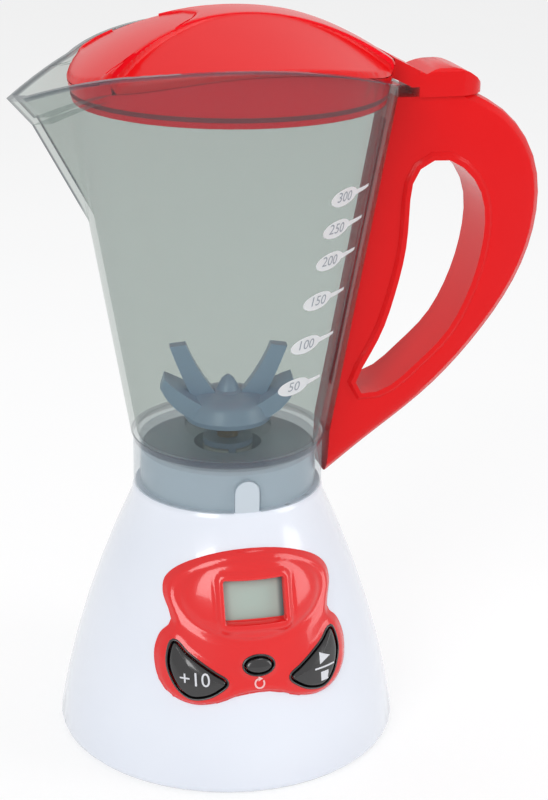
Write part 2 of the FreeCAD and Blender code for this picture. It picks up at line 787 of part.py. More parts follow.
def driven_dog():
    low = SLOT_Z + GAP
    r = DOG_R - GAP
    blades = cross(DOG_BLADE, low, DISC_Z + 0.1, r).common(rod(r, low, HIGH, 0, 0, 28))
    disc = rod(DOG_R, DISC_Z, UNDER_Z, 0, 0, 28)
    core = rod(DOG_CORE_R, core_z(), UNDER_Z, 0, 0, 16)
    return fuse([blades, disc, core]).cut(cylinder(SHAFT_R, core_z() + SNUG, HIGH))


def impeller_shaft():
    return cylinder(SHAFT_R, core_z() + SNUG, shaft_top())


def shaft_top():
    return HUB_Z + HUB_H / 3


def jug_bush():
    bush = rod(BUSH_R, JUG_FLOOR_Z - JUG_FLOOR, SEAT_TOP_Z + HUB_GAP - FREE, 0, 0, 16)
    return bush.cut(cylinder(SHAFT_R + RUN, 0, HIGH))


def impeller_hub():
    """Turned hub with a rounded shoulder, a shallow dish and a middle spike."""
    r, h = HUB_R, HUB_H
    shares = [(0.84, 0), (0.95, 0.045), (1, 0.16), (0.926, 0.4), (0.824, 0.507), (0.684, 0.587),
              (0.515, 0.625), (0.324, 0.632), (0.25, 0.68), (0.213, 0.775), (0.14, 0.913),
              (0.04, 1)]
    return turned([(a * r, HUB_Z + b * h) for a, b in shares], 28)


def bowed(points, count=6):
    """Points along the arc through three (x, z) points."""
    curve = arc(*[rz(x, z) for x, z in points])
    return curve.discretize(count)


def prong():
    tip, low = HUB_Z + PRONG_H, HUB_Z
    inner = bowed([(2.5, low + 7.1), (8.6, low + 15.5), (12.6, tip)])
    outer = bowed([(17.4, tip - 0.6), (14.4, low + 15.3), (9.5, low + 4.6)])
    blade = Part.Face(ring_wire(inner + outer)).extrude(vec(0, 2 * PRONG_HALF, 0))
    blade.translate(vec(0, -PRONG_HALF, 0))
    return blade


def wing():
    low = HUB_Z
    under = bowed([(5.0, low + 1.5), (13.5, low + 3.7), (WING_R, low + 10.1)])
    over = bowed([(WING_R - 1.4, low + 13.7), (13.0, low + 9.7), (5.0, low + 5.1)])
    lobe = Part.Face(ring_wire(under + over)).extrude(vec(0, 2.4 * WING_HALF, 0))
    lobe.translate(vec(0, -1.2 * WING_HALF, 0))
    turns = [2 * math.pi * (k + 0.5) / 20 for k in range(20)]
    reach = WING_R - 8
    plan = [vec(8 + reach * math.cos(a), WING_HALF * math.sin(a), low - 5) for a in turns]
    return lobe.common(Part.Face(ring_wire(plan)).extrude(vec(0, 0, 40)))


def impeller():
    parts = [impeller_hub()]
    for maker in (prong, wing):
        for turn in (0, 180):
            piece = maker()
            piece.rotate(vec(0, 0, 0), vec(0, 0, 1), turn)
            parts.append(piece)
    body = fuse(parts).cut(cylinder(SHAFT_R, HUB_Z - 5, shaft_top()))
    body.rotate(vec(0, 0, 0), vec(0, 0, 1), IMPELLER_TURN)
    return body


# Jug

def across_y(x, z, r, half=80):
    return Part.makeCylinder(r, 2 * half, vec(x, -half, z), vec(0, 1, 0))


def rim_circle():
    return circle_through(rz(TIP_X, TIP_Z), rz(RIM_TOP_X, RIM_TOP_Z), rz(RIM_REAR_X, RIM_REAR_Z))


def band_circle():
    return circle_through(rz(CHIN_X, CHIN_Z), rz(RIM_TOP_X, BAND_TOP_Z), rz(RIM_REAR_X, BAND_REAR_Z))


def tear_ring(z, inset):
    """The lip band's plan: a circle that runs out into a point at the pouring lip."""
    r = jug_r(z) + RIM_PROUD - inset
    lean = (TIP_X - CHIN_X) / (TIP_Z - CHIN_Z)
    tip = -(CHIN_X + lean * (z - CHIN_Z))
    half = math.acos((r + inset) / tip)
    end = math.pi - half
    turns = [end - 2 * end * k / BAND_SIDES for k in range(BAND_SIDES + 1)]
    points = [vec(r * math.cos(a), r * math.sin(a), z) for a in turns]
    return points + [vec(-r / math.cos(half), 0, z)]


def band_body(inset):
    body = stack([tear_ring(CHIN_Z - 6.6, inset), tear_ring(RIM_TOP_Z + 6.6, inset)])
    x, z, r = band_circle()
    keep = box(-90, 90, -80, 80, 150, 240).cut(across_y(x, z, r + (1.2 if inset else 0)))
    return body.common(keep)


def keel_x(z):
    return KEEL_X + (CHIN_X - KEEL_X) / (CHIN_Z - KEEL_Z) * (z - KEEL_Z)


def spout_ring(z, inset):
    half = math.radians(SPOUT_HALF_DEG)
    tip = keel_x(z) + inset / math.sin(half)
    base = -SKIRT_R
    w = (base - tip) * math.tan(half)
    return [vec(tip, 0, z), vec(base, w, z), vec(base, -w, z)]


def spout_body(inset):
    return stack([spout_ring(KEEL_Z - 4.3, inset), spout_ring(TIP_Z + 5.7, inset)])


def jug_form(inset, low):
    high = RIM_TOP_Z + 4.6
    body = turned([(jug_r(low) - inset, low), (jug_r(high) - inset, high)])
    return fuse([body, spout_body(inset), band_body(inset)])


def jug():
    skirt = drum(SKIRT_R, SHOULDER_Z, JUG_FLOOR_Z)
    outside = fuse([jug_form(0, JUG_FLOOR_Z), skirt, jug_rail(0)])
    x, z, r = rim_circle()
    outside = outside.common(across_y(x, z, r))
    inside = jug_form(JUG_WALL, JUG_FLOOR_Z)
    inside = inside.cut(lid_ledge())
    body = outside.cut([inside, drum(SKIRT_R - SKIRT_WALL, 0, JUG_FLOOR_Z - JUG_FLOOR)])
    seat = rod(SEAT_R, JUG_FLOOR_Z - 0.5, SEAT_TOP_Z, 0, 0, 32)
    return fuse([body, seat]).cut([notch(NOTCH_W, notch_top()), rod(BUSH_R, 0, SEAT_TOP_Z + 1, 0, 0, 16)])


def lid_ledge():
    low = LEDGE_Z - LEDGE_DEEP
    r_high = jug_r(LEDGE_Z) - JUG_WALL
    slope = turned([(r_high + CONE_SLOPE, low), (r_high - LEDGE_IN, LEDGE_Z)])
    front = box(-90, -33, -40, 40, low - 1, LEDGE_Z + 1)
    return drum(r_high + 15, low, LEDGE_Z).cut([slope, front])


def jug_rail(spare):
    """The rail up the jug's back, or with some room to spare the slot for it."""
    low, high = JUG_FLOOR_Z + RAIL_LOW - spare, JUG_FLOOR_Z + RAIL_HIGH + spare
    out = RAIL_OUT + spare
    points = [rz(jug_r(low) - 1, low), rz(jug_r(low) + out, low),
              rz(jug_r(high) + out, high), rz(jug_r(high) - 1, high)]
    rail = Part.Face(ring_wire(points)).extrude(vec(0, RAIL_W, 0))
    rail.translate(vec(0, -RAIL_W / 2, 0))
    return rail


# Handle

def from_skirt(points):
    return [(SKIRT_R + x, z) for x, z in points]


def side_ring(points, y):
    return [vec(x, y, z) for x, z in points]


def outer_slab(side):
    """The handle's rounded outer edge with a plain back, longer than the handle itself."""
    outer = from_skirt(HANDLE_OUTER)
    over = (outer[0][0] - 12.0, outer[0][1] + 6.0)
    under = (outer[-1][0] - 12.0, outer[-1][1] - 9.5)
    edge = smooth_points([under] + outer[::-1] + [over], 32, False)
    back = [(0, over[1]), (0, under[1])]
    sections = [side_ring(edge + back, 0)]
    for k in range(ROUND_STEPS + 1):
        turn = math.radians(90.0 * k / ROUND_STEPS)
        inset = HANDLE_ROUND * (1 - math.cos(turn))
        y = HANDLE_HALF - HANDLE_ROUND * (1 - math.sin(turn))
        sections.append(side_ring(grown(edge, -inset, False) + back, side * y))
    return stack(sections)


def handle_zone(side):
    """Between the jug's wall and the lid's pad."""
    low = HANDLE_OUTER[-1][1] - 1.0
    points = [rz(SKIRT_R + SNUG, low), rz(jug_r(JUG_FLOOR_Z) + SNUG, JUG_FLOOR_Z),
              rz(jug_r(LEDGE_Z) + SNUG, LEDGE_Z), rz(SKIRT_R + 90, LEDGE_Z), rz(SKIRT_R + 90, low)]
    return Part.Face(ring_wire(points)).extrude(vec(0, side * 2 * HANDLE_HALF, 0))


def bead(side):
    loop = smooth_points(from_skirt(LOOP), 36)
    levels = [(BEAD_W, -1.0), (BEAD_W, 0.1), (BEAD_W * 0.6, BEAD_H)]
    return stack([side_ring(grown(loop, w), side * (HANDLE_HALF + h)) for w, h in levels])


def handle_half(side):
    slab = outer_slab(side).common(handle_zone(side))
    loop = smooth_points(from_skirt(LOOP), 36)
    hole = Part.Face(ring_wire(side_ring(loop, -2 * HANDLE_HALF)))
    cuts = [hole.extrude(vec(0, 4 * HANDLE_HALF, 0)), jug_rail(SNUG)]
    cuts += [screw_hole(x, z, side) for x, z in from_skirt(SCREW_SPOTS)]
    return fuse([slab, bead(side)]).cut(cuts)


def across(shape, x, y, z, turn):
    """Lays an upright piece along Y and puts its foot at x, y, z."""
    shape.rotate(vec(0, 0, 0), vec(1, 0, 0), turn)
    shape.translate(vec(x, y, z))
    return shape


def screw_hole(x, z, side):
    if side < 0:
        return across(rod(SCREW_R, -1, HANDLE_HALF - 3.5), x, 0, z, 90)
    shank = across(rod(SCREW_R + 0.1, -1, 2 * HANDLE_HALF), x, 0, z, -90)
    return fuse([shank, across(rod(SCREW_HEAD_R + SNUG, 0, 9), x, HANDLE_HALF - 4.0, z, -90)])


def handle_screws():
    out = []
    seat = HANDLE_HALF - 4.0
    for x, z in from_skirt(SCREW_SPOTS):
        shank = across(rod(SCREW_R, 0, seat + 4.2), x, seat + 0.2, z, 90)
        out.append(fuse([shank, across(rod(SCREW_HEAD_R, 0, 1.8), x, seat, z, -90)]))
    return Part.makeCompound(out)


# Lid

def barrel(shift, profile):
    """A body turned about the lid's arch axis, from (y, drop) points across the lid."""
    z = LID_TOP_Z - LID_ARCH_R
    points = [vec(LID_ARCH_X, y, LID_TOP_Z + shift - drop) for y, drop in profile]
    points += [vec(LID_ARCH_X, points[-1].y, z), vec(LID_ARCH_X, points[0].y, z)]
    return Part.Face(ring_wire(points)).revolve(vec(LID_ARCH_X, 0, z), vec(0, 1, 0), 360)


def crown_body(shift):
    steps = [2.0 * k / CROWN_STEPS - 1.0 for k in range(CROWN_STEPS + 1)]
    return barrel(shift, [(t * CROWN_REACH, t * t * LID_CROWN) for t in steps])


def facet_body(shift):
    fall = FACET_FALL * (CROWN_REACH - BAND_HALF)
    side = [(-CROWN_REACH, fall), (-BAND_HALF, 0), (BAND_HALF, 0), (CROWN_REACH, fall)]
    return barrel(shift - FACET_STEP, side)


def facet_plan(side):
    return cylinder(FACET_R, LEDGE_Z - 5, HIGH, FACET_X, side * (FACET_IN + FACET_R))


def front_plan():
    near = [(x, -y) for x, y in reversed(FRONT_EDGE)]
    points = [vec(x, y, LEDGE_Z - 5) for x, y in near + FRONT_EDGE[1:]]
    points += [vec(-70, FRONT_EDGE[-1][1], LEDGE_Z - 5), vec(-70, -FRONT_EDGE[-1][1], LEDGE_Z - 5)]
    return Part.Face(ring_wire(points)).extrude(vec(0, 0, 60))


def plug_r(z):
    return jug_r(z) - JUG_WALL - GAP


def lid_plug(inset, low, high):
    return turned([(plug_r(low) - inset, low), (plug_r(high) - inset, high)])


def thumb_tab():
    r = TAB_HALF
    end = TAB_END_X - r
    back = jug_r(LEDGE_Z) - 9.0
    turns = [math.radians(a) for a in range(-90, 91, 15)]
    plan = [vec(end + r * math.cos(a), r * math.sin(a), LEDGE_Z) for a in turns]
    plan += [vec(back, r, LEDGE_Z), vec(back, -r, LEDGE_Z)]
    tab = Part.Face(ring_wire(plan)).extrude(vec(0, 0, 30))
    top = LEDGE_Z + TAB_RISE
    peak = end - 1.4
    hump = bowed([(TAB_END_X + 1, LEDGE_Z), (TAB_END_X - 4.0, top - 2.8), (peak, top)], 6)
    hump += bowed([(peak, top), (peak - 3.9, top - 0.4), (peak - 7.5, top - 1.7)], 4)[1:]
    hump += [rz(back, top + 7.1), rz(back, LEDGE_Z)]
    side = Part.Face(ring_wire(hump)).extrude(vec(0, 4 * r, 0))
    side.translate(vec(0, -2 * r, 0))
    return tab.common(side).common(tab_crown())


def tab_crown():
    """Rounds the tab's long top edges."""
    r, h, c = TAB_HALF, TAB_RISE, TAB_ROUND
    turns = [math.radians(a) for a in (0, 30, 60, 90)]
    near = [vec(0, c - r - c * math.cos(a), LEDGE_Z + h - c + c * math.sin(a)) for a in turns]
    far = [vec(0, -p.y, p.z) for p in reversed(near)]
    low = [vec(0, r, LEDGE_Z), vec(0, -r, LEDGE_Z)]
    shape = Part.Face(ring_wire(near + far + low)).extrude(vec(TAB_END_X + 5, 0, 0))
    wide = box(0, jug_r(LEDGE_Z) + 6.0, -2 * r, 2 * r, LEDGE_Z, HIGH)
    return fuse([shape, wide])


def lid():
    top = crown_body(0)
    for side in (-1, 1):
        top = top.cut(facet_plan(side).cut(facet_body(0)))
    top = top.cut(front_plan().cut(crown_body(-FACET_STEP)))
    body = lid_plug(0, LEDGE_Z, HIGH - 35).common(top)
    hollow = lid_plug(LID_WALL, LEDGE_Z - 1, HIGH - 35).common(facet_body(-LID_WALL))
    tab = thumb_tab().cut(lid_plug(0, LEDGE_Z - 40, HIGH - 35))
    rim = box(30, RIM_REAR_X + 2.2, -2 * TAB_HALF, 2 * TAB_HALF, 150, RIM_REAR_Z + GAP)
    x, z, r = rim_circle()
    rim_clear = across_y(x, z, r + GAP).common(drum(RIM_REAR_X + 0.6, 150, 240))
    rim_clear = rim_clear.cut(drum(plug_r(LEDGE_Z), 150, 240))
    body = fuse([body, tab.cut([rim, rim_clear])])
    return body.cut([hollow, seal_ring(0)])


def seal_ring(shift):
    z = LEDGE_Z + SEAL_UP
    half = SEAL_H / 2 - shift
    outer = drum(plug_r(z) + SEAL_PROUD - shift, z - half, z + half)
    return outer.cut(drum(plug_r(z) - SEAL_DEEP + shift, 0, HIGH))


NODES = {
    "base_housing": base_housing,
    "bottom_cover": bottom_cover,
    "battery_door": battery_door,
    "door_screw": door_screw,
    "cover_screws": cover_screws,
    "batteries": batteries,
    "battery_contacts": battery_contacts,
    "control_panel": control_panel,
    "display_cell": display_cell,
    "display_connector": display_connector,
    "circuit_board": circuit_board,
    "board_screws": board_screws,
    "button_domes": button_domes,
    "add_button": lambda: button("add"),
    "start_button": lambda: button("start"),
    "reset_button": lambda: button("reset"),
    "gearbox_plate": gearbox_plate,
    "plate_screws": plate_screws,
    "motor_can": motor_can,
    "motor_cap": motor_cap,
    "motor_shaft": motor_shaft,
    "motor_pinion": motor_pinion,
    "drive_shaft": drive_shaft,
    "drive_gear": drive_gear,
    "drive_dog": drive_dog,
    "base_bush": base_bush,
    "jug": jug,
    "jug_bush": jug_bush,
    "handle_near_half": lambda: handle_half(-1),
    "handle_far_half": lambda: handle_half(1),
    "handle_screws": handle_screws,
    "impeller": impeller,
    "impeller_shaft": impeller_shaft,
    "driven_dog": driven_dog,
    "lid": lid,
    "lid_seal": lambda: seal_ring(0.05),
}


os.makedirs("parts", exist_ok=True)
for name, maker in NODES.items():
    shape = maker()
    shape.exportStep("parts/" + name + ".step")
    print(name, len(shape.Solids), shape.isValid(), round(shape.Volume, 1))
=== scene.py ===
import bpy, bmesh, json, math
from mathutils import Euler, Matrix, Vector
from mathutils.bvhtree import BVHTree
from mathutils.geometry import delaunay_2d_cdt
from mathutils.kdtree import KDTree

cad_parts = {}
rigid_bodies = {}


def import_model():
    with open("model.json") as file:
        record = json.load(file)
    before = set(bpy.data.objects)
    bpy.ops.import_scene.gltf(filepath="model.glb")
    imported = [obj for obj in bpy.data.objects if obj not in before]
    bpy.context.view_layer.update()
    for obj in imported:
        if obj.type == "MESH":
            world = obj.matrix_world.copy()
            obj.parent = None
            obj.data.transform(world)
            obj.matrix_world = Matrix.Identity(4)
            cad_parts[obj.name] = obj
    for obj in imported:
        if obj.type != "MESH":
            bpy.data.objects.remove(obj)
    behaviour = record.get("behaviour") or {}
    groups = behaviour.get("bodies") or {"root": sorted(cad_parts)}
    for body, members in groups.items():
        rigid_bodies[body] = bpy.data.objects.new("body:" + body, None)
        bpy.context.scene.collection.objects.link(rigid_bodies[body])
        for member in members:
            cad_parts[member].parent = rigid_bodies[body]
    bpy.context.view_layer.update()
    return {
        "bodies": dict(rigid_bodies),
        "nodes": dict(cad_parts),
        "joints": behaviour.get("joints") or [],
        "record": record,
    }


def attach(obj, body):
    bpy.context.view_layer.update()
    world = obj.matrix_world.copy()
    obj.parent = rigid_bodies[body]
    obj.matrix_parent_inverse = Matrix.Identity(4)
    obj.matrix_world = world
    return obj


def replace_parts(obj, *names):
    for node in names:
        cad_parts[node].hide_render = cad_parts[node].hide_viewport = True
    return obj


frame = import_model()
scene = bpy.context.scene


# The table-top studio: a pale floor that fades into a white room, three soft boxes, and a
# camera at the height and distance that the toy was photographed from.

def srgb(r, g, b):
    """A colour in everyday 0 to 255 numbers as the linear light that shaders use."""
    return tuple((v / 255 / 12.92) if v <= 10 else ((v / 255 + 0.055) / 1.055) ** 2.4 for v in (r, g, b))


class Signal:
    """A number or colour on its way through a finish, which can be written in sums."""

    def __init__(self, finish, socket):
        self.finish = finish
        self.socket = socket

    def math(self, operation, *others):
        return self.finish.node("ShaderNodeMath", {"operation": operation}, self, *others)

    def __add__(self, other):
        return self.math("ADD", other)

    def __sub__(self, other):
        return self.math("SUBTRACT", other)

    def __rsub__(self, other):
        return self.finish.node("ShaderNodeMath", {"operation": "SUBTRACT"}, other, self)

    def __mul__(self, other):
        return self.math("MULTIPLY", other)

    def __pow__(self, other):
        return self.math("POWER", other)

    def __radd__(self, other):
        return self.math("ADD", other)

    def __abs__(self):
        return self.math("ABSOLUTE")


class Finish:
    """One surface finish, built node by node."""

    def __init__(self, name):
        self.material = bpy.data.materials.new(name)
        self.material.use_nodes = True
        self.nodes = self.material.node_tree.nodes
        self.links = self.material.node_tree.links
        self.nodes.clear()

    def node(self, kind, settings=None, *values, out=0, **named):
        """A node of one type, with its settings and then the values or links of its sockets."""
        made = self.nodes.new(kind)
        for key, value in (settings or {}).items():
            setattr(made, key, value)
        sockets = list(enumerate(values))
        sockets += [(key.replace("_", " "), value) for key, value in named.items()]
        for key, value in sockets:
            socket = made.inputs[key]
            if isinstance(value, Signal):
                self.links.new(value.socket, socket)
            elif isinstance(value, tuple) and len(value) == 3 and socket.type == "RGBA":
                socket.default_value = (*value, 1.0)
            else:
                socket.default_value = value
        return Signal(self, made.outputs[out])

    def place(self):
        """Object coordinates in millimetres, as a vector and as x, y and z."""
        metres = self.node("ShaderNodeTexCoord", out="Object")
        vector = self.node("ShaderNodeVectorMath", {"operation": "SCALE"}, metres, Scale=1000.0)
        axes = self.node("ShaderNodeSeparateXYZ", None, vector).socket.node.outputs
        return (vector, *(Signal(self, axis) for axis in axes))

    def noise(self, vector, scale, detail=3.0, roughness=0.5):
        return self.node("ShaderNodeTexNoise", None,
                         Vector=vector, Scale=scale, Detail=detail, Roughness=roughness)

    def rise(self, value, low, high):
        """0 below low, 1 above high and smooth between."""
        smooth = {"interpolation_type": "SMOOTHSTEP"}
        return self.node("ShaderNodeMapRange", smooth, value, low, high, 0.0, 1.0)

    def near(self, value, centre, half, soft):
        """1 within half of the centre, 0 beyond a soft edge."""
        return 1.0 - self.rise(abs(value - centre), half, half + soft)

    def blend(self, factor, one, two):
        """One colour turning into another as the factor goes from 0 to 1."""
        made = self.nodes.new("ShaderNodeMix")
        made.data_type = "RGBA"
        factor_socket, first_colour, second_colour = (made.inputs[k] for k in (0, 6, 7))
        for socket, value in ((factor_socket, factor), (first_colour, one), (second_colour, two)):
            if isinstance(value, Signal):
                self.links.new(value.socket, socket)
            elif socket.type == "RGBA":
                socket.default_value = (*value, 1.0)
            else:
                socket.default_value = value
        colour_out = made.outputs[2]
        return Signal(self, colour_out)

    def bump(self, height, strength, distance):
        return self.node("ShaderNodeBump", None, Strength=strength, Distance=distance, Height=height)

    def principled(self, **sockets):
        return self.node("ShaderNodeBsdfPrincipled", None, **sockets)

    def done(self, shader):
        output = self.nodes.new("ShaderNodeOutputMaterial")
        self.links.new(shader.socket, output.inputs[0])
        return self.material


CAMERA_BACK, CAMERA_HEIGHT = 0.5218, 0.29529
TURN, PAN, PITCH, ROLL = 12.0, 0.446, 20.341, 0.460
camera_data = bpy.data.cameras.new("studio_camera")
camera = bpy.data.objects.new("studio_camera", camera_data)
scene.collection.objects.link(camera)
camera_data.sensor_width = 24.0
camera_data.lens = 55.673
camera_data.shift_x, camera_data.shift_y = 0.0408, 0.0105
camera_data.clip_start = 0.02
turned = Matrix.Rotation(math.radians(-TURN), 4, "Z")
aim = Euler((math.radians(90 - PITCH), 0, math.radians(-PAN))).to_matrix().to_4x4()
camera.matrix_world = (turned @ Matrix.Translation((0, -CAMERA_BACK, CAMERA_HEIGHT)) @ aim
                       @ Matrix.Rotation(math.radians(ROLL), 4, "Z"))
scene.camera = camera


def soft_box(name, place, size, power, towards=(0, 0, 0.11), colour=(1, 1, 1)):
    light = bpy.data.lights.new(name, "AREA")
    light.shape = "RECTANGLE"
    light.size, light.size_y = size
    light.energy = power
    light.color = colour
    made = bpy.data.objects.new(name, light)
    made.location = place
    made.rotation_euler = (Vector(towards) - Vector(place)).to_track_quat("-Z", "Y").to_euler()
    scene.collection.objects.link(made)


soft_box("key_box", (-0.55, -0.75, 0.62), (0.45, 0.6), 4.2)
soft_box("fill_box", (0.85, -0.45, 0.45), (0.4, 0.7), 2.6)
soft_box("top_box", (0.1, 0.15, 1.0), (0.7, 0.5), 2.6)

room = bpy.data.worlds.new("white_room")
scene.world = room
room.use_nodes = True
room.node_tree.nodes.clear()
rays = room.node_tree.nodes.new("ShaderNodeLightPath")
seen = room.node_tree.nodes.new("ShaderNodeMath")
seen.operation = "MAXIMUM"
seen_too = room.node_tree.nodes.new("ShaderNodeMath")
seen_too.operation = "MAXIMUM"
glow = room.node_tree.nodes.new("ShaderNodeMapRange")
glow.inputs["To Min"].default_value = 0.62
glow.inputs["To Max"].default_value = 1.0
sky = room.node_tree.nodes.new("ShaderNodeBackground")
sky_out = room.node_tree.nodes.new("ShaderNodeOutputWorld")
room.node_tree.links.new(rays.outputs["Is Camera Ray"], seen.inputs[0])
room.node_tree.links.new(rays.outputs["Is Glossy Ray"], seen.inputs[1])
room.node_tree.links.new(seen.outputs[0], seen_too.inputs[0])
room.node_tree.links.new(rays.outputs["Is Transmission Ray"], seen_too.inputs[1])
room.node_tree.links.new(seen_too.outputs[0], glow.inputs[0])
room.node_tree.links.new(glow.outputs[0], sky.inputs["Strength"])
room.node_tree.links.new(sky.outputs[0], sky_out.inputs[0])
scene.view_settings.view_transform = "Standard"

paper = Finish("studio_paper")
paper_vector = paper.place()[0]
paper_tone = paper.blend(paper.noise(paper_vector, 0.01), srgb(244, 245, 247), srgb(250, 250, 251))
paper_matt = paper.principled(Base_Color=paper_tone, Roughness=0.9, **{"Specular_IOR_Level": 0.1})
paper_white = paper.node("ShaderNodeEmission", None, Color=(1.0, 1.0, 1.0), Strength=1.06)
paper_rays = paper.node("ShaderNodeLightPath", out="Is Camera Ray")
paper_glossy = Signal(paper, paper_rays.socket.node.outputs["Is Glossy Ray"])
paper_through = Signal(paper, paper_rays.socket.node.outputs["Is Transmission Ray"])
paper_seen = paper_rays.math("MAXIMUM", paper_glossy).math("MAXIMUM", paper_through)
paper.done(paper.node("ShaderNodeMixShader", None, paper_seen * 0.66, paper_matt, paper_white))

floor_mesh = bpy.data.meshes.new("floor")
FLOOR_HALF = 8.0
floor_corners = [(x * FLOOR_HALF, y * FLOOR_HALF, 0) for x, y in ((-1, -1), (1, -1), (1, 1), (-1, 1))]
floor_mesh.from_pydata(floor_corners, [], [(0, 1, 2, 3)])
floor = bpy.data.objects.new("floor", floor_mesh)
floor_mesh.materials.append(paper.material)
scene.collection.objects.link(floor)


# The base housing: one injection moulding in glossy white, a bell with a rounded foot, a
# shelf for the jug's skirt and a round boss with a key. It keeps its solid's own form.

def skin_of(node, name, angle=32.0):
    """A clean-edged copy of a moulding, with its curved faces shaded smooth."""
    mesh = frame["nodes"][node].data.copy()
    mesh.name = name
    work = bmesh.new()
    work.from_mesh(mesh)
    bmesh.ops.remove_doubles(work, verts=work.verts, dist=2e-6)
    bmesh.ops.dissolve_degenerate(work, edges=work.edges, dist=1e-6)
    for face in work.faces:
        face.smooth = True
    limit = math.radians(angle)
    for edge in work.edges:
        edge.smooth = len(edge.link_faces) == 2 and edge.calc_face_angle(0) < limit
    work.to_mesh(mesh)
    work.free()
    made = bpy.data.objects.new(name, mesh)
    scene.collection.objects.link(made)
    return made


def dress(piece, finish):
    """Gives a piece one finish all over."""
    piece.data.materials.clear()
    piece.data.materials.append(finish)
    return piece


def moulded(name, colour, deep, roughness=0.22, coat=0.5, grain=0.02, shine=0.5):
    """Glossy moulded plastic: a faint cloudiness of tone, flow ripples and a thin clear skin."""
    finish = Finish(name)
    vector = finish.place()[0]
    cloud = finish.noise(vector, 0.035, 2.0)
    fine = finish.noise(vector, 1.6, 4.0)
    tone = finish.blend(cloud, deep, colour)
    polish = roughness + (fine - 0.5) * 0.05
    ripple = finish.bump(finish.noise(vector, 0.12, 1.0) + fine * 0.06, grain, 0.001)
    return finish.done(finish.principled(Base_Color=tone, Roughness=polish, Normal=ripple,
                                         Specular_IOR_Level=shine, Coat_Weight=coat, Coat_Roughness=0.06))


def stands_for(piece, node, body):
    """Puts a dressed copy in its node's place."""
    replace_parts(piece, node)
    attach(piece, body)
    return piece


SHOULDER_Z = 79.7


def base_white():
    """Glossy white, with painted shade greying the boss under the jug's skirt."""
    finish = Finish("base_white")
    vector, _, _, z = finish.place()
    cloud = finish.noise(vector, 0.035, 2.0)
    # Painted shade: the boss under the skirt is turned greyer, as if shaded there.
    boss_painted_shade = finish.rise(z, SHOULDER_Z - 0.1, SHOULDER_Z + 0.2)
    tone = finish.blend(cloud, srgb(231, 237, 248), srgb(238, 243, 252))
    tone = finish.blend(boss_painted_shade, tone, srgb(196, 208, 217))
    ripple = finish.bump(finish.noise(vector, 0.12, 1.0), 0.02, 0.001)
    return finish.done(finish.principled(Base_Color=tone, Roughness=0.22 + cloud * 0.04, Normal=ripple,
                                         Coat_Weight=0.6, Coat_Roughness=0.06))


white_gloss = base_white()
base = dress(skin_of("base_housing", "base_bell"), white_gloss)
stands_for(base, "base_housing", "base")


# Under the base: the screwed cover with its battery tray, the battery door, and their
# screws. The cover and door are matt moulded white, the screws plated steel.

white_matt = moulded("white_satin", srgb(222, 226, 232), srgb(214, 219, 226), 0.45, 0.0, 0.05)
for node in ("bottom_cover", "battery_door"):
    dress(frame["nodes"][node], white_matt)


def plain_metal(name, colour, deep, roughness=0.3):
    """Turned or drawn metal: fine scratches along one way and a slight change of tone."""
    finish = Finish(name)
    long_grain = finish.node("ShaderNodeMapping", None, Vector=finish.place()[0], Scale=(0.4, 6.0, 6.0))
    scratch = finish.noise(long_grain, 1.5, 5.0, 0.6)
    tone = finish.blend(scratch, deep, colour)
    polish = roughness + scratch * 0.15
    return finish.done(finish.principled(Base_Color=tone, Metallic=1.0, Roughness=polish,
                                         Normal=finish.bump(scratch, 0.06, 0.0005)))


screw_steel = plain_metal("screw_steel", srgb(198, 200, 203), srgb(160, 163, 168))
bright_steel = plain_metal("bright_steel", srgb(214, 216, 220), srgb(182, 185, 190), 0.2)
bush_brass = plain_metal("bush_brass", srgb(214, 178, 96), srgb(176, 138, 66), 0.32)
for node in ("door_screw", "cover_screws", "board_screws", "plate_screws", "handle_screws"):
    dress(frame["nodes"][node], screw_steel)
for node in ("battery_contacts", "motor_shaft", "drive_shaft", "impeller_shaft"):
    dress(frame["nodes"][node], bright_steel)
for node in ("base_bush", "jug_bush"):
    dress(frame["nodes"][node], bush_brass)


# Inside the base: two round cells in plain sleeves, a small can motor, its pinion and the
# big gear on the drive shaft, the circuit board with its rubber domes, and the gear plate.

motor_steel = plain_metal("motor_steel", srgb(190, 192, 196), srgb(158, 160, 166), 0.34)
dress(frame["nodes"]["motor_can"], motor_steel)

sleeve = Finish("cell_sleeve")
sleeve_vector, sleeve_x, _, _ = sleeve.place()
sleeve_band = sleeve.rise(abs(sleeve_x), 14.0, 14.4)
sleeve_fine = sleeve.noise(sleeve_vector, 3.0, 3.0)
sleeve_tone = sleeve.blend(sleeve_band, srgb(52, 60, 74), srgb(176, 132, 70))
sleeve.done(sleeve.principled(Base_Color=sleeve_tone, Roughness=0.3 + sleeve_fine * 0.1, Metallic=0.4,
                              Normal=sleeve.bump(sleeve_fine, 0.03, 0.0005)))
dress(frame["nodes"]["batteries"], sleeve.material)

gear_nylon = moulded("gear_nylon", srgb(236, 233, 220), srgb(222, 218, 202), 0.4, 0.0, 0.05)
frame_nylon = moulded("frame_nylon", srgb(206, 208, 206), srgb(190, 193, 192), 0.5, 0.0, 0.08)
for node in ("motor_pinion", "drive_gear", "drive_dog"):
    dress(frame["nodes"][node], gear_nylon)
for node in ("gearbox_plate", "motor_cap"):
    dress(frame["nodes"][node], frame_nylon)

board = Finish("circuit_laminate")
board_vector = board.place()[0]
board_weave = board.noise(board_vector, 2.4, 4.0)
board_track = board.rise(board.noise(board_vector, 0.25, 0.0), 0.52, 0.54)
board_tone = board.blend(board_track, srgb(28, 92, 52), srgb(44, 122, 70))
board.done(board.principled(Base_Color=board_tone, Roughness=0.35 + board_weave * 0.2,
                            Normal=board.bump(board_weave + board_track, 0.08, 0.0005)))
dress(frame["nodes"]["circuit_board"], board.material)

dark_rubber = moulded("dark_rubber", srgb(44, 44, 47), srgb(34, 34, 37), 0.7, 0.0, 0.12)
for node in ("button_domes", "display_connector"):
    dress(frame["nodes"][node], dark_rubber)


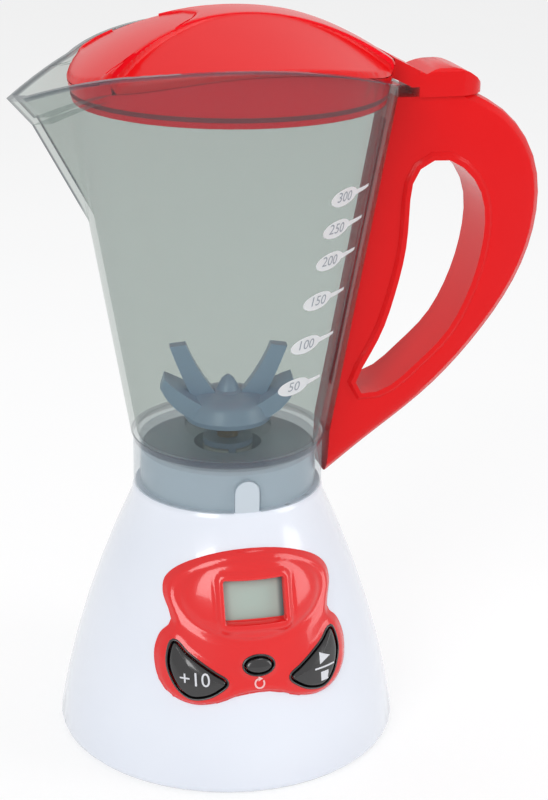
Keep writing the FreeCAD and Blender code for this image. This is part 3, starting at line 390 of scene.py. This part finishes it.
# The control panel: a glossy red moulding set into the front of the bell, with a rounded
# rim. A raised oval swells round the display's window, which has a ridge of its own.

red_gloss = moulded("red_gloss", srgb(229, 24, 26), srgb(221, 18, 23), 0.24, 0.1, 0.02, 0.11)
panel_gloss = moulded("panel_gloss", srgb(234, 27, 27), srgb(224, 19, 23), 0.2, 0.6, 0.02, 0.35)
PANEL_HALF = [(0.0, 70.0), (9.5, 68.9), (18.3, 65.6), (23.6, 61.3), (24.9, 56.6), (23.5, 51.6),
              (23.6, 48.8), (26.7, 45.2), (28.5, 39.6), (27.8, 33.2), (24.2, 29.0), (18.6, 27.4),
              (12.0, 28.3), (5.5, 30.5), (0.0, 31.1)]
WING = [(23.3, 44.6), (20.4, 41.9), (16.4, 39.0), (13.0, 36.7), (9.9, 34.6), (12.0, 32.5),
        (15.6, 30.7), (19.9, 30.3), (23.0, 32.6), (24.8, 36.6), (24.9, 40.6)]
RESET_AT, RESET_HALF = (0.0, 39.1), (3.95, 2.1)
WINDOW_Z, WINDOW_HALF = 56.65, (9.1, 6.1)
OVAL_Z, OVAL_HALF, OVAL_HIGH = 57.2, (20.6, 11.0), 1.5
GROOVE_DEEP = 0.4
FRAME_STANDS, FRAME_RIDGE, FRAME_WIDE = 1.12, 0.5, 2.0
PANEL_STANDS, RIM_ROUND, RIM_DROP = 1.7, 1.7, 1.3
COLLAR_HOLE, COLLAR_LIP = 0.7, 0.3


def surface_of(piece):
    """A piece's own faces, ready to be hit by a line."""
    mesh = piece.data
    return BVHTree.FromPolygons([v.co for v in mesh.vertices], [p.vertices for p in mesh.polygons])


def first_hit(surface, start, direction):
    """Where a line, in millimetres, first meets the surface."""
    point = surface.ray_cast(Vector(start) / 1000, Vector(direction).normalized())[0]
    return point * 1000


def made_of(name, points, faces, finish, body, smooth=True):
    """A new piece from points in millimetres."""
    mesh = bpy.data.meshes.new(name)
    mesh.from_pydata([Vector(p) / 1000 for p in points], [], faces)
    for face in mesh.polygons:
        face.use_smooth = smooth
    made = dress(bpy.data.objects.new(name, mesh), finish)
    scene.collection.objects.link(made)
    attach(made, body)
    return made


def smooth_loop(points, per_side=6):
    """A closed smooth curve through the points."""
    loop = []
    for k in range(len(points)):
        a, b, c, d = (Vector(points[(k + step) % len(points)]) for step in (-1, 0, 1, 2))
        for part in range(per_side):
            t = part / per_side
            loop.append(0.5 * (2 * b + (c - a) * t + (2 * a - 5 * b + 4 * c - d) * t * t
                               + (3 * b - a - 3 * c + d) * t ** 3))
    return loop


def grown(loop, by):
    """The loop moved outwards."""
    out = []
    for k, spot in enumerate(loop):
        along = (loop[(k + 1) % len(loop)] - loop[k - 1]).normalized()
        out.append(spot + Vector((along.y, -along.x)) * by)
    return out


def oval_loop(centre, half, count=40):
    turns = [2 * math.pi * k / count for k in range(count)]
    return [Vector((centre[0] + half[0] * math.cos(a), centre[1] + half[1] * math.sin(a))) for a in turns]


def oblong_loop(centre, half, corner, steps=6, per_side=10):
    """A rectangle with rounded corners, anticlockwise."""
    loop = []
    for turn, (side_x, side_z) in enumerate(((1, 1), (-1, 1), (-1, -1), (1, -1))):
        middle = Vector((centre[0] + side_x * (half[0] - corner), centre[1] + side_z * (half[1] - corner)))
        for k in range(steps + 1):
            angle = math.radians(90 * turn + 90 * k / steps)
            loop.append(middle + corner * Vector((math.cos(angle), math.sin(angle))))
    full = []
    for k, spot in enumerate(loop):
        after = loop[(k + 1) % len(loop)]
        parts = per_side if (after - spot).length > 1 else 1
        full += [spot.lerp(after, part / parts) for part in range(parts)]
    return full


def rings_to_faces(count, rings):
    """Four cornered faces between rings of as many points each."""
    faces = []
    for ring in range(rings - 1):
        near, far = ring * count, (ring + 1) * count
        for k in range(count):
            after = (k + 1) % count
            faces.append((near + k, near + after, far + after, far + k))
    return faces


def within(spot, loop):
    """Whether a flat spot lies inside the loop."""
    inside = False
    for k, a in enumerate(loop):
        b = loop[k - 1]
        if (a.y > spot.y) != (b.y > spot.y):
            crossing = a.x + (b.x - a.x) * (spot.y - a.y) / (b.y - a.y)
            inside = inside != (spot.x < crossing)
    return inside


def away_from(loop):
    """The distance from a flat spot to a loop, as a function."""
    fine = [loop[k - 1].lerp(spot, part / 6) for k, spot in enumerate(loop) for part in range(6)]
    tree = KDTree(len(fine))
    for k, spot in enumerate(fine):
        tree.insert((spot.x, spot.y, 0), k)
    tree.balance()
    return lambda x, y: tree.find((x, y, 0))[2]


def net(outer, holes, spacing):
    """A fine flat net inside one loop and outside others: its points and its triangles."""
    def in_net(spot):
        return within(spot, outer) and not any(within(spot, hole) for hole in holes)

    loops = [outer] + holes
    points, edges = [], []
    for loop in loops:
        first = len(points)
        points += loop
        edges += [(first + k, first + (k + 1) % len(loop)) for k in range(len(loop))]
    clear = [away_from(loop) for loop in loops]
    low = Vector((min(p.x for p in outer), min(p.y for p in outer)))
    high = Vector((max(p.x for p in outer), max(p.y for p in outer)))
    row_gap = spacing * 0.866
    for row in range(int((high.y - low.y) / row_gap) + 1):
        for column in range(int((high.x - low.x) / spacing) + 2):
            spot = low + Vector(((column + 0.5 * (row % 2)) * spacing, row * row_gap))
            if min(gap(spot.x, spot.y) for gap in clear) > 0.55 * spacing and in_net(spot):
                points.append(spot)
    found = delaunay_2d_cdt(points, edges, [], 0, 1e-7)
    spots = [Vector(spot) for spot in found[0]]
    middles = [(sum((spots[k] for k in face), Vector((0, 0))) / len(face), face) for face in found[2]]
    return spots, [tuple(face) for middle, face in middles if in_net(middle)]


def eased(value, low, high):
    """0 below low, 1 above high and smooth between."""
    t = min(max((value - low) / (high - low), 0.0), 1.0)
    return t * t * (3 - 2 * t)


bell_surface = surface_of(base)


def bell_reach(z):
    """The bell's radius at a height, found at its back."""
    return first_hit(bell_surface, (3.0, 80, z), (0, -1, 0)).xy.length


def on_front(loop, up):
    """Flat x and z spots carried to the front, each up from the bell by a number or a function."""
    points = []
    for x, z in loop:
        reach = bell_reach(z) + (up(x, z) if callable(up) else up)
        points.append((x, -math.sqrt(reach ** 2 - x ** 2), z))
    return points


panel_left = [(-x, z) for x, z in PANEL_HALF[1:-1]]
panel_edge = smooth_loop(list(reversed(PANEL_HALF)) + panel_left)
right_wing = smooth_loop(WING)
left_wing = [Vector((-x, z)) for x, z in reversed(right_wing)]
small_oval = oval_loop(RESET_AT, RESET_HALF)
window = oblong_loop((0.0, WINDOW_Z), WINDOW_HALF, 0.8)
from_edge, from_window = away_from(panel_edge), away_from(window)
from_buttons = away_from(right_wing), away_from(left_wing), away_from(small_oval)


def panel_height(x, z):
    """How far the panel's face stands out from the bell."""
    rim_gap, frame_gap = from_edge(x, z), from_window(x, z)
    up = PANEL_STANDS - RIM_DROP * (1 - min(rim_gap / RIM_ROUND, 1.0)) ** 2
    reach = math.hypot(x / OVAL_HALF[0], (z - OVAL_Z) / OVAL_HALF[1])
    up -= GROOVE_DEEP * math.exp(-((reach - 1.07) / 0.1) ** 2) * eased(rim_gap, 0.5, 2.5)
    swell = OVAL_HIGH * max(1 - reach ** 2, 0.0) ** 0.62
    frame = 1 - eased(frame_gap, FRAME_WIDE - 0.2, FRAME_WIDE + 1.0)
    up += swell * (1 - frame) + FRAME_STANDS * frame
    up += FRAME_RIDGE * math.sin(math.pi * min((frame_gap + 0.5) / (FRAME_WIDE + 0.5), 1.0))
    up -= 0.22 * math.exp(-((frame_gap - FRAME_WIDE - 0.3) / 0.5) ** 2)
    button_gap = min(gap(x, z) for gap in from_buttons)
    return up + COLLAR_LIP * (1 - eased(button_gap, 0.8, 2.2)) * eased(rim_gap, 0.4, 1.4)


def turned_out(piece, way):
    """Merges a piece's doubles and points its faces outwards, most of them along the way."""
    work = bmesh.new()
    work.from_mesh(piece.data)
    bmesh.ops.remove_doubles(work, verts=work.verts, dist=1e-6)
    bmesh.ops.recalc_face_normals(work, faces=work.faces)
    work.to_mesh(piece.data)
    work.free()
    if sum(face.normal.dot(Vector(way)) * face.area for face in piece.data.polygons) < 0:
        piece.data.flip_normals()
    return piece


def panel_face():
    """The face as a fine net, with its outer side and the window's sides turned in."""
    holes = [grown(loop, COLLAR_HOLE) for loop in (right_wing, left_wing, small_oval)] + [window]
    spots, faces = net(panel_edge, holes, 0.6)
    points = on_front(spots, panel_height)
    outer_side = [(0.15, -0.25), (0.05, -1.2)]
    window_side = [(-0.12, -0.25), (-0.15, -3.2)]
    for loop, steps in ((panel_edge, outer_side), (window, window_side)):
        first = len(points)
        points += on_front(loop, panel_height)
        for grow, drop in steps:
            points += on_front(grown(loop, grow), lambda x, z: panel_height(x, z) + drop)
        faces += [tuple(first + k for k in face) for face in rings_to_faces(len(loop), 1 + len(steps))]
    return turned_out(made_of("panel_face", points, faces, panel_gloss, "base"), (0, -1, 0))


PANEL_LOW_Z, PANEL_HIGH_Z = 28.0, 70.0


def panel_back():
    """What the panel has behind its face, drawn in from the solid's own form."""
    back = skin_of("control_panel", "panel_back", 28.0)
    for vertex in back.data.vertices:
        height = min(max(vertex.co.z * 1000, PANEL_LOW_Z), PANEL_HIGH_Z)
        limit = bell_reach(height) / 1000
        if vertex.co.xy.length > limit:
            vertex.co.y = -math.sqrt(limit ** 2 - vertex.co.x ** 2)
    return dress(back, panel_gloss)


panel = panel_face()
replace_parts(panel, "control_panel")
stands_for(panel_back(), "control_panel", "base")
panel_surface = surface_of(panel)

display = Finish("display_grey")
display_vector, display_x, _, display_z = display.place()
display_cloud = display.noise(display_vector, 0.1, 2.0)
# Painted shadow: the cell darkens towards its right and top edges, as if shaded by the window's frame.
display_painted_shadow = display.rise(display_x, 6.9, 8.7) + display.rise(display_z, 60.2, 62.2) * 0.8
display_tone = display.blend(display_painted_shadow, srgb(172, 193, 184), srgb(98, 116, 116))
display.done(display.principled(Base_Color=display_tone, Roughness=0.22 + display_cloud * 0.06,
                                Coat_Weight=0.15, Coat_Roughness=0.05))
dress(frame["nodes"]["display_cell"], display.material)


# The three buttons: glossy black caps that push in square to the panel, each in a raised
# black collar. Their prints are a plus and a number, a start and a stop sign, and a ring.

button_black = moulded("button_black", srgb(30, 29, 31), srgb(18, 17, 19), 0.2, 0.7, 0.04)


def collar(name, loop):
    """A rounded black ring in the panel, round a button."""
    section = [(1.05, 1.4), (1.0, 2.1), (0.8, 2.35), (0.56, 2.3), (0.44, 1.9), (0.42, 0.3)]
    points = [p for grow, up in section for p in on_front(grown(loop, grow), up)]
    faces = rings_to_faces(len(loop), len(section))
    return made_of(name, points, faces, button_black, "base")


def cap(name, loop, body, node):
    """A button's cap: straight sides, a rounded edge and a slightly domed face."""
    side = [(-0.1, 1.0), (-0.1, 2.1), (-0.2, 2.36), (-0.42, 2.56), (-0.8, 2.7)]
    rings = [on_front(grown(loop, grow), up) for grow, up in side]
    middle = sum((spot for spot in loop), Vector((0, 0))) / len(loop)
    inner = grown(loop, side[-1][0])
    for share, up in ((0.8, 2.82), (0.6, 2.9), (0.4, 2.95), (0.2, 2.98), (0.02, 2.99)):
        rings.append(on_front([middle + (spot - middle) * share for spot in inner], up))
    count = len(loop)
    points = [p for ring in rings for p in ring]
    faces = rings_to_faces(count, len(rings)) + [tuple(range(len(points) - count, len(points)))]
    made = made_of(name, points, faces, button_black, body)
    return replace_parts(made, node)


caps = {}
for node, body, loop in (("add_button", "add_key", left_wing),
                         ("start_button", "start_key", right_wing),
                         ("reset_button", "reset_key", small_oval)):
    collar(node + "_collar", loop)
    caps[node] = cap(node + "_cap", loop, body, node)


def bar(a, b, width, far_width=None, steps=6):
    """A flat strip from a to b, as points and faces."""
    along = (Vector(b) - Vector(a)).normalized()
    across = Vector((-along.y, along.x)) / 2
    points = []
    for k in range(steps + 1):
        middle = Vector(a).lerp(Vector(b), k / steps)
        wide = width + ((far_width or width) - width) * k / steps
        points += [middle - across * wide, middle + across * wide]
    return points, [(2 * k, 2 * k + 2, 2 * k + 3, 2 * k + 1) for k in range(steps)]


def oval_patch(half_a, half_b, turn=0.0, count=32, rings=4):
    """A filled oval, as points and faces."""
    points = [Vector((0, 0))]
    for ring in range(1, rings + 1):
        for k in range(count):
            angle = 2 * math.pi * k / count
            spot = Vector((half_a * math.cos(angle), half_b * math.sin(angle))) * ring / rings
            spot.rotate(Matrix.Rotation(math.radians(turn), 2))
            points.append(spot)
    faces = [(0, 1 + k, 1 + (k + 1) % count) for k in range(count)]
    faces += [tuple(k + 1 for k in face) for face in rings_to_faces(count, rings)]
    return points, faces


def ring_patch(radius, width, start, end, steps=20):
    """A part of a ring, as points and faces."""
    points = []
    for k in range(steps + 1):
        angle = math.radians(start + (end - start) * k / steps)
        for r in (radius - width / 2, radius + width / 2):
            points.append(Vector((r * math.cos(angle), r * math.sin(angle))))
    return points, [(2 * k, 2 * k + 1, 2 * k + 3, 2 * k + 2) for k in range(steps)]


def figures(words, height, slant=0.0):
    """Plain figures as a flat patch, centred."""
    curve = bpy.data.curves.new("figures", "FONT")
    curve.body = words
    curve.size = height * 1.4
    curve.align_x, curve.align_y = "CENTER", "CENTER"
    curve.resolution_u = 3
    maker = bpy.data.objects.new("figures", curve)
    scene.collection.objects.link(maker)
    bpy.context.view_layer.update()
    flat = bpy.data.meshes.new_from_object(maker.evaluated_get(bpy.context.evaluated_depsgraph_get()))
    points = [Vector((v.co.x + slant * v.co.y, v.co.y)) for v in flat.vertices]
    faces = [tuple(p.vertices) for p in flat.polygons]
    bpy.data.objects.remove(maker)
    bpy.data.meshes.remove(flat)
    return points, faces


def printed(name, surface, patches, start_of, finish, body, lift=0.05):
    """A print: flat patches carried on to a surface, each point along its own line."""
    points, faces = [], []
    for patch_points, patch_faces in patches:
        first = len(points)
        for spot in patch_points:
            start, direction = start_of(spot.x, spot.y)
            hit = first_hit(surface, start, direction)
            points.append(hit - Vector(direction).normalized() * lift)
        faces += [tuple(first + k for k in face) for face in patch_faces]
    made = made_of(name, points, faces, finish, body, False)
    outward = -Vector(start_of(0, 0)[1])
    if sum((face.normal.dot(outward) for face in made.data.polygons)) < 0:
        made.data.flip_normals()
    return made


def from_front(x0, z0):
    """Lines straight back on to the front, from a flat spot's place round a middle."""
    return lambda s, t: ((x0 + s, -80, z0 + t), (0, 1, 0))


print_white = moulded("print_white", srgb(222, 224, 230), srgb(214, 216, 222), 0.45, 0.0, 0.01)
print_pale = moulded("print_pale", srgb(246, 196, 196), srgb(242, 186, 188), 0.45, 0.0, 0.01)
printed("add_print", surface_of(caps["add_button"]), [figures("+10", 3.9)], from_front(-18.6, 35.3),
        print_white, "add_key", 0.1)
start_sign = [bar((-1.5, 2.7), (2.0, 2.7), 3.3, 0.05), bar((-3.2, 0.0), (3.4, 0.0), 0.5),
              bar((-1.3, -2.5), (1.3, -2.5), 2.6)]
printed("start_print", surface_of(caps["start_button"]), start_sign, from_front(20.3, 35.3),
        print_white, "start_key", 0.1)
reset_sign = [ring_patch(1.35, 0.5, 100, 395), bar((-0.35, 1.35), (1.0, 1.35), 1.5, 0.05)]
printed("reset_print", panel_surface, reset_sign, from_front(0.0, 33.9),
        print_pale, "base", 0.12)


# The jug: one moulding in smoke tinted clear plastic. The tint gathers along the floor's edge,
# the rim and the keel of the spout, which look slate blue. The skirt below the floor is paler.

JUG_FLOOR_R, JUG_FLOOR_Z, JUG_FLOOR_T, JUG_SLOPE = 29.08, 95.6, 2.0, 0.1753
RIM_ARC_AT, RIM_ARC_R = (-4.4, 88.6), 121.9
KEEL_BACK_X, KEEL_LOW_Z = -44.0, 158.0


def smoke():
    """Clear at heart and tinted at grazing angles; the edges that gather the tint are darker."""
    finish = Finish("smoke_clear")
    vector, x, y, z = finish.place()
    cloud = finish.noise(vector, 0.02, 2.0)
    across = (x ** 2.0 + y ** 2.0) ** 0.5
    floor_band = finish.near(z, JUG_FLOOR_Z - 0.9, 0.8, 0.5)
    floor_band = floor_band * finish.rise(across, JUG_FLOOR_R - 3.08, JUG_FLOOR_R - 1.58)
    from_rim_centre = ((x - RIM_ARC_AT[0]) ** 2.0 + (z - RIM_ARC_AT[1]) ** 2.0) ** 0.5
    rim_band = finish.rise(from_rim_centre, RIM_ARC_R, RIM_ARC_R + 0.4)
    keel = finish.near(y, 0.0, 0.4, 0.6) * (1.0 - finish.rise(x, KEEL_BACK_X, KEEL_BACK_X + 4.0))
    keel = keel * finish.rise(z, KEEL_LOW_Z, KEEL_LOW_Z + 4.0)
    edge = floor_band.math("MAXIMUM", rim_band).math("MAXIMUM", keel)
    skirt = 1.0 - finish.rise(z, JUG_FLOOR_Z - JUG_FLOOR_T - 0.2, JUG_FLOOR_Z - JUG_FLOOR_T + 0.2)
    tone = finish.blend(cloud, srgb(128, 138, 146), srgb(140, 150, 156))
    tone = finish.blend(skirt, tone, srgb(168, 186, 192))
    tone = finish.blend(edge, tone, srgb(52, 66, 84))
    facing = finish.node("ShaderNodeLayerWeight", None, Blend=0.4, out="Facing")
    alpha = 0.09 + facing ** 4.0 * 0.4 + skirt * 0.12 + edge * 0.4
    body = finish.principled(Base_Color=tone, Roughness=0.07 + cloud * 0.03, Coat_Weight=0.6,
                             Coat_Roughness=0.03, Normal=finish.bump(cloud, 0.1, 0.001))
    wall = finish.node("ShaderNodeBsdfTransparent", None, Color=(0.86, 0.885, 0.868))
    thin = finish.node("ShaderNodeBsdfTransparent", None, Color=(0.955, 0.965, 0.975))
    low = 1.0 - finish.rise(z, JUG_FLOOR_Z + 0.1, JUG_FLOOR_Z + 0.7)
    clear = finish.node("ShaderNodeMixShader", None, low, wall, thin)
    return finish.done(finish.node("ShaderNodeMixShader", None, alpha, clear, body))


smoke_clear = smoke()
jug_shell = dress(skin_of("jug", "jug_shell", 10.0), smoke_clear)
stands_for(jug_shell, "jug", "jug_body")


# The measuring marks: printed white on the jug's outside, each an oval with a pointer to its
# level and the millilitres in grey. From 100 up the levels fit the volume of the jug's inside.

START_OUT = 90.0
MARKS = {300: (-54.5, 174.0, -38.2), 250: (-56.1, 165.0, -38.8), 200: (-57.1, 155.7, -39.7),
         150: (-60.5, 144.2, -42.6), 100: (-63.8, 131.2, -44.9), 50: (-67.6, 118.5, -49.9)}


def ink(name, colour, deep):
    """A thin print on clear plastic, which lets some light through to its back."""
    finish = Finish(name)
    cloud = finish.noise(finish.place()[0], 0.3, 2.0)
    face = finish.principled(Base_Color=finish.blend(cloud, deep, colour), Roughness=0.5 + cloud * 0.05)
    back = finish.node("ShaderNodeBsdfTranslucent", None, Color=colour)
    return finish.done(finish.node("ShaderNodeMixShader", None, 0.35, face, back))


figure_grey = ink("figure_grey", srgb(176, 182, 190), srgb(168, 174, 184))
mark_white = ink("mark_white", srgb(250, 252, 254), srgb(246, 249, 252))
jug_surface = surface_of(jug_shell)


def round_jug(turn, height):
    """Millimetres across and up from a spot on the jug's side, and the jug's radius there."""
    def out(angle):
        return Vector((math.cos(angle), math.sin(angle), 0))

    middle = math.radians(turn)
    reach = first_hit(jug_surface, out(middle) * START_OUT + Vector((0, 0, height)), -out(middle)).xy.length

    def line(s, t):
        angle = middle + s / reach
        return out(angle) * START_OUT + Vector((0, 0, height + t)), -out(angle)
    return line, reach


for volume, (turn, height, tip_turn) in MARKS.items():
    line, reach = round_jug(turn, height)
    tip = math.radians(tip_turn - turn) * reach
    mark = [oval_patch(5.3, 2.5, 8.0), bar((4.6, 0.5), (tip, 1.1), 1.5, 0.9)]
    printed("mark_%d" % volume, jug_surface, mark, line, mark_white, "jug_body", 0.06)
    printed("figures_%d" % volume, jug_surface, [figures(str(volume), 2.9, 0.12)], line,
            figure_grey, "jug_body", 0.12)


# The impeller: slate coloured satin plastic, pressed on the short shaft in the jug's floor,
# with the cross shaped dog that drops into the slotted one in the base.

slate = moulded("slate_satin", srgb(160, 182, 208), srgb(148, 172, 198), 0.34, 0.2, 0.03)
impeller = dress(skin_of("impeller", "impeller_blades", 30.0), slate)
stands_for(impeller, "impeller", "impeller_body")
dress(frame["nodes"]["driven_dog"], slate)


# The handle: two glossy red half shells, screwed together across the middle plane, with a
# raised bead round the finger loop.

for node in ("handle_near_half", "handle_far_half"):
    half = dress(skin_of(node, node + "_shell", 30.0), red_gloss)
    stands_for(half, node, "jug_body")


# The lid: a glossy red moulding, arched from spout to handle. A raised band runs over its
# middle between two side facets and a fallen front. The rubber seal sits round its plug.

LID_TOP, ARCH_R, ARCH_X = 220.5, 74.6, 2.0
CROWN_FALL, CROWN_REACH = 5.0, 50.0
BAND_HALF, FACET_FALL, FACET_STEP = 8.6, 0.245, 0.5
FACET_R, FACET_AT = 60.0, (5.5, 68.3)
FRONT_EDGE = [(-9.5, 0.0), (-12.2, 6.9), (-18.4, 13.6), (-26.8, 18.6), (-34.3, 21.8), (-40.4, 22.8),
              (-48.0, 24.0)]
front_near = [(x, -y) for x, y in reversed(FRONT_EDGE)]
front_area = smooth_loop(front_near + FRONT_EDGE[1:] + [(-70, 24), (-70, -24)], 4)
from_front_area = away_from(front_area)
LID_ROUND, RIDGE = 1.2, 0.8
JUG_WALL_AND_GAP = 2.2
TAB_FROM_X, TAB_HALF = 30.0, 10.6


def arch(x, drop):
    """The height of the arch that runs from spout to handle, lowered by the drop."""
    return LID_TOP - ARCH_R + math.sqrt((ARCH_R - drop) ** 2 - (x - ARCH_X) ** 2)


def plug_reach(z):
    """The radius of the lid's plug and walls, which is the jug's own less its wall and a gap."""
    return JUG_FLOOR_R + JUG_SLOPE * (z - JUG_FLOOR_Z) - JUG_WALL_AND_GAP


def lid_height(x, y):
    """The lid's top over a flat spot: the crown, cut down by the facets and by the front."""
    crown_drop = CROWN_FALL * (y / CROWN_REACH) ** 2
    top = arch(x, crown_drop)
    facet = arch(x, FACET_FALL * max(abs(y) - BAND_HALF, 0.0) + FACET_STEP)
    into = FACET_R - math.hypot(x - FACET_AT[0], abs(y) - FACET_AT[1])
    if facet < top:
        top -= (top - facet) * eased(into, -RIDGE, RIDGE)
    front = arch(x, crown_drop + FACET_STEP)
    side = from_front_area(x, y) * (1 if within(Vector((x, y)), front_area) else -1)
    if front < top:
        top -= (top - front) * eased(side, -RIDGE, RIDGE)
    edge = min(max(plug_reach(top) - math.hypot(x, y), 0.0) / LID_ROUND, 1.0)
    return top - LID_ROUND * (1 - math.sqrt(1 - (1 - edge) ** 2))


def lid_rim(count=144):
    """The loop on which the rounded top meets the walls."""
    loop = []
    for k in range(count):
        angle = 2 * math.pi * k / count
        reach = 45.0
        for _ in range(4):
            reach = plug_reach(lid_height(reach * math.cos(angle), reach * math.sin(angle)) + LID_ROUND)
        loop.append(Vector((reach * math.cos(angle), reach * math.sin(angle))))
    return loop


def lid_top():
    """The lid's outer top as a fine net."""
    spots, faces = net(lid_rim(), [], 0.9)
    points = [(spot.x, spot.y, lid_height(spot.x, spot.y)) for spot in spots]
    made = made_of("lid_top", points, faces, red_gloss, "lid_body")
    if sum(face.normal.z for face in made.data.polygons) < 0:
        made.data.flip_normals()
    return made


def lid_under():
    """The solid's own plug, walls and tab, without the top that lid_top draws."""
    under = skin_of("lid", "lid_under", 24.0)
    work = bmesh.new()
    work.from_mesh(under.data)
    tops = []
    for face in work.faces:
        middle = face.calc_center_median() * 1000
        if face.normal.z > 0.3 and middle.z > 200 and middle.xy.length < plug_reach(middle.z) - 0.03:
            tops.append(face)
    bmesh.ops.delete(work, geom=tops, context="FACES")
    for vertex in work.verts:
        at = vertex.co * 1000
        at_tab = at.x > TAB_FROM_X and abs(at.y) < TAB_HALF
        if at.z > 199 and not at_tab and at.xy.length > plug_reach(at.z) - 0.4:
            vertex.co.z -= (LID_ROUND + 0.1) / 1000
    work.to_mesh(under.data)
    work.free()
    return under


# The plug and walls get a brighter copy of the lid's red: painted light, as they are seen in shade through
# the jug.
plug_red_painted_light = moulded("plug_red_painted_light", srgb(252, 26, 44), srgb(246, 22, 38), 0.24, 0.1, 0.02, 0.11)
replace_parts(lid_top(), "lid")
plug_and_tab = dress(lid_under(), plug_red_painted_light)
plug_and_tab.data.materials.append(red_gloss)
for face in plug_and_tab.data.polygons:
    middle = face.center * 1000
    at_tab = middle.x > TAB_FROM_X and middle.xy.length > plug_reach(middle.z)
    face.material_index = 1 if at_tab else 0
stands_for(plug_and_tab, "lid", "lid_body")
seal_rubber = moulded("seal_rubber", srgb(150, 44, 54), srgb(138, 38, 48), 0.6, 0.0, 0.05)
dress(frame["nodes"]["lid_seal"], seal_rubber)
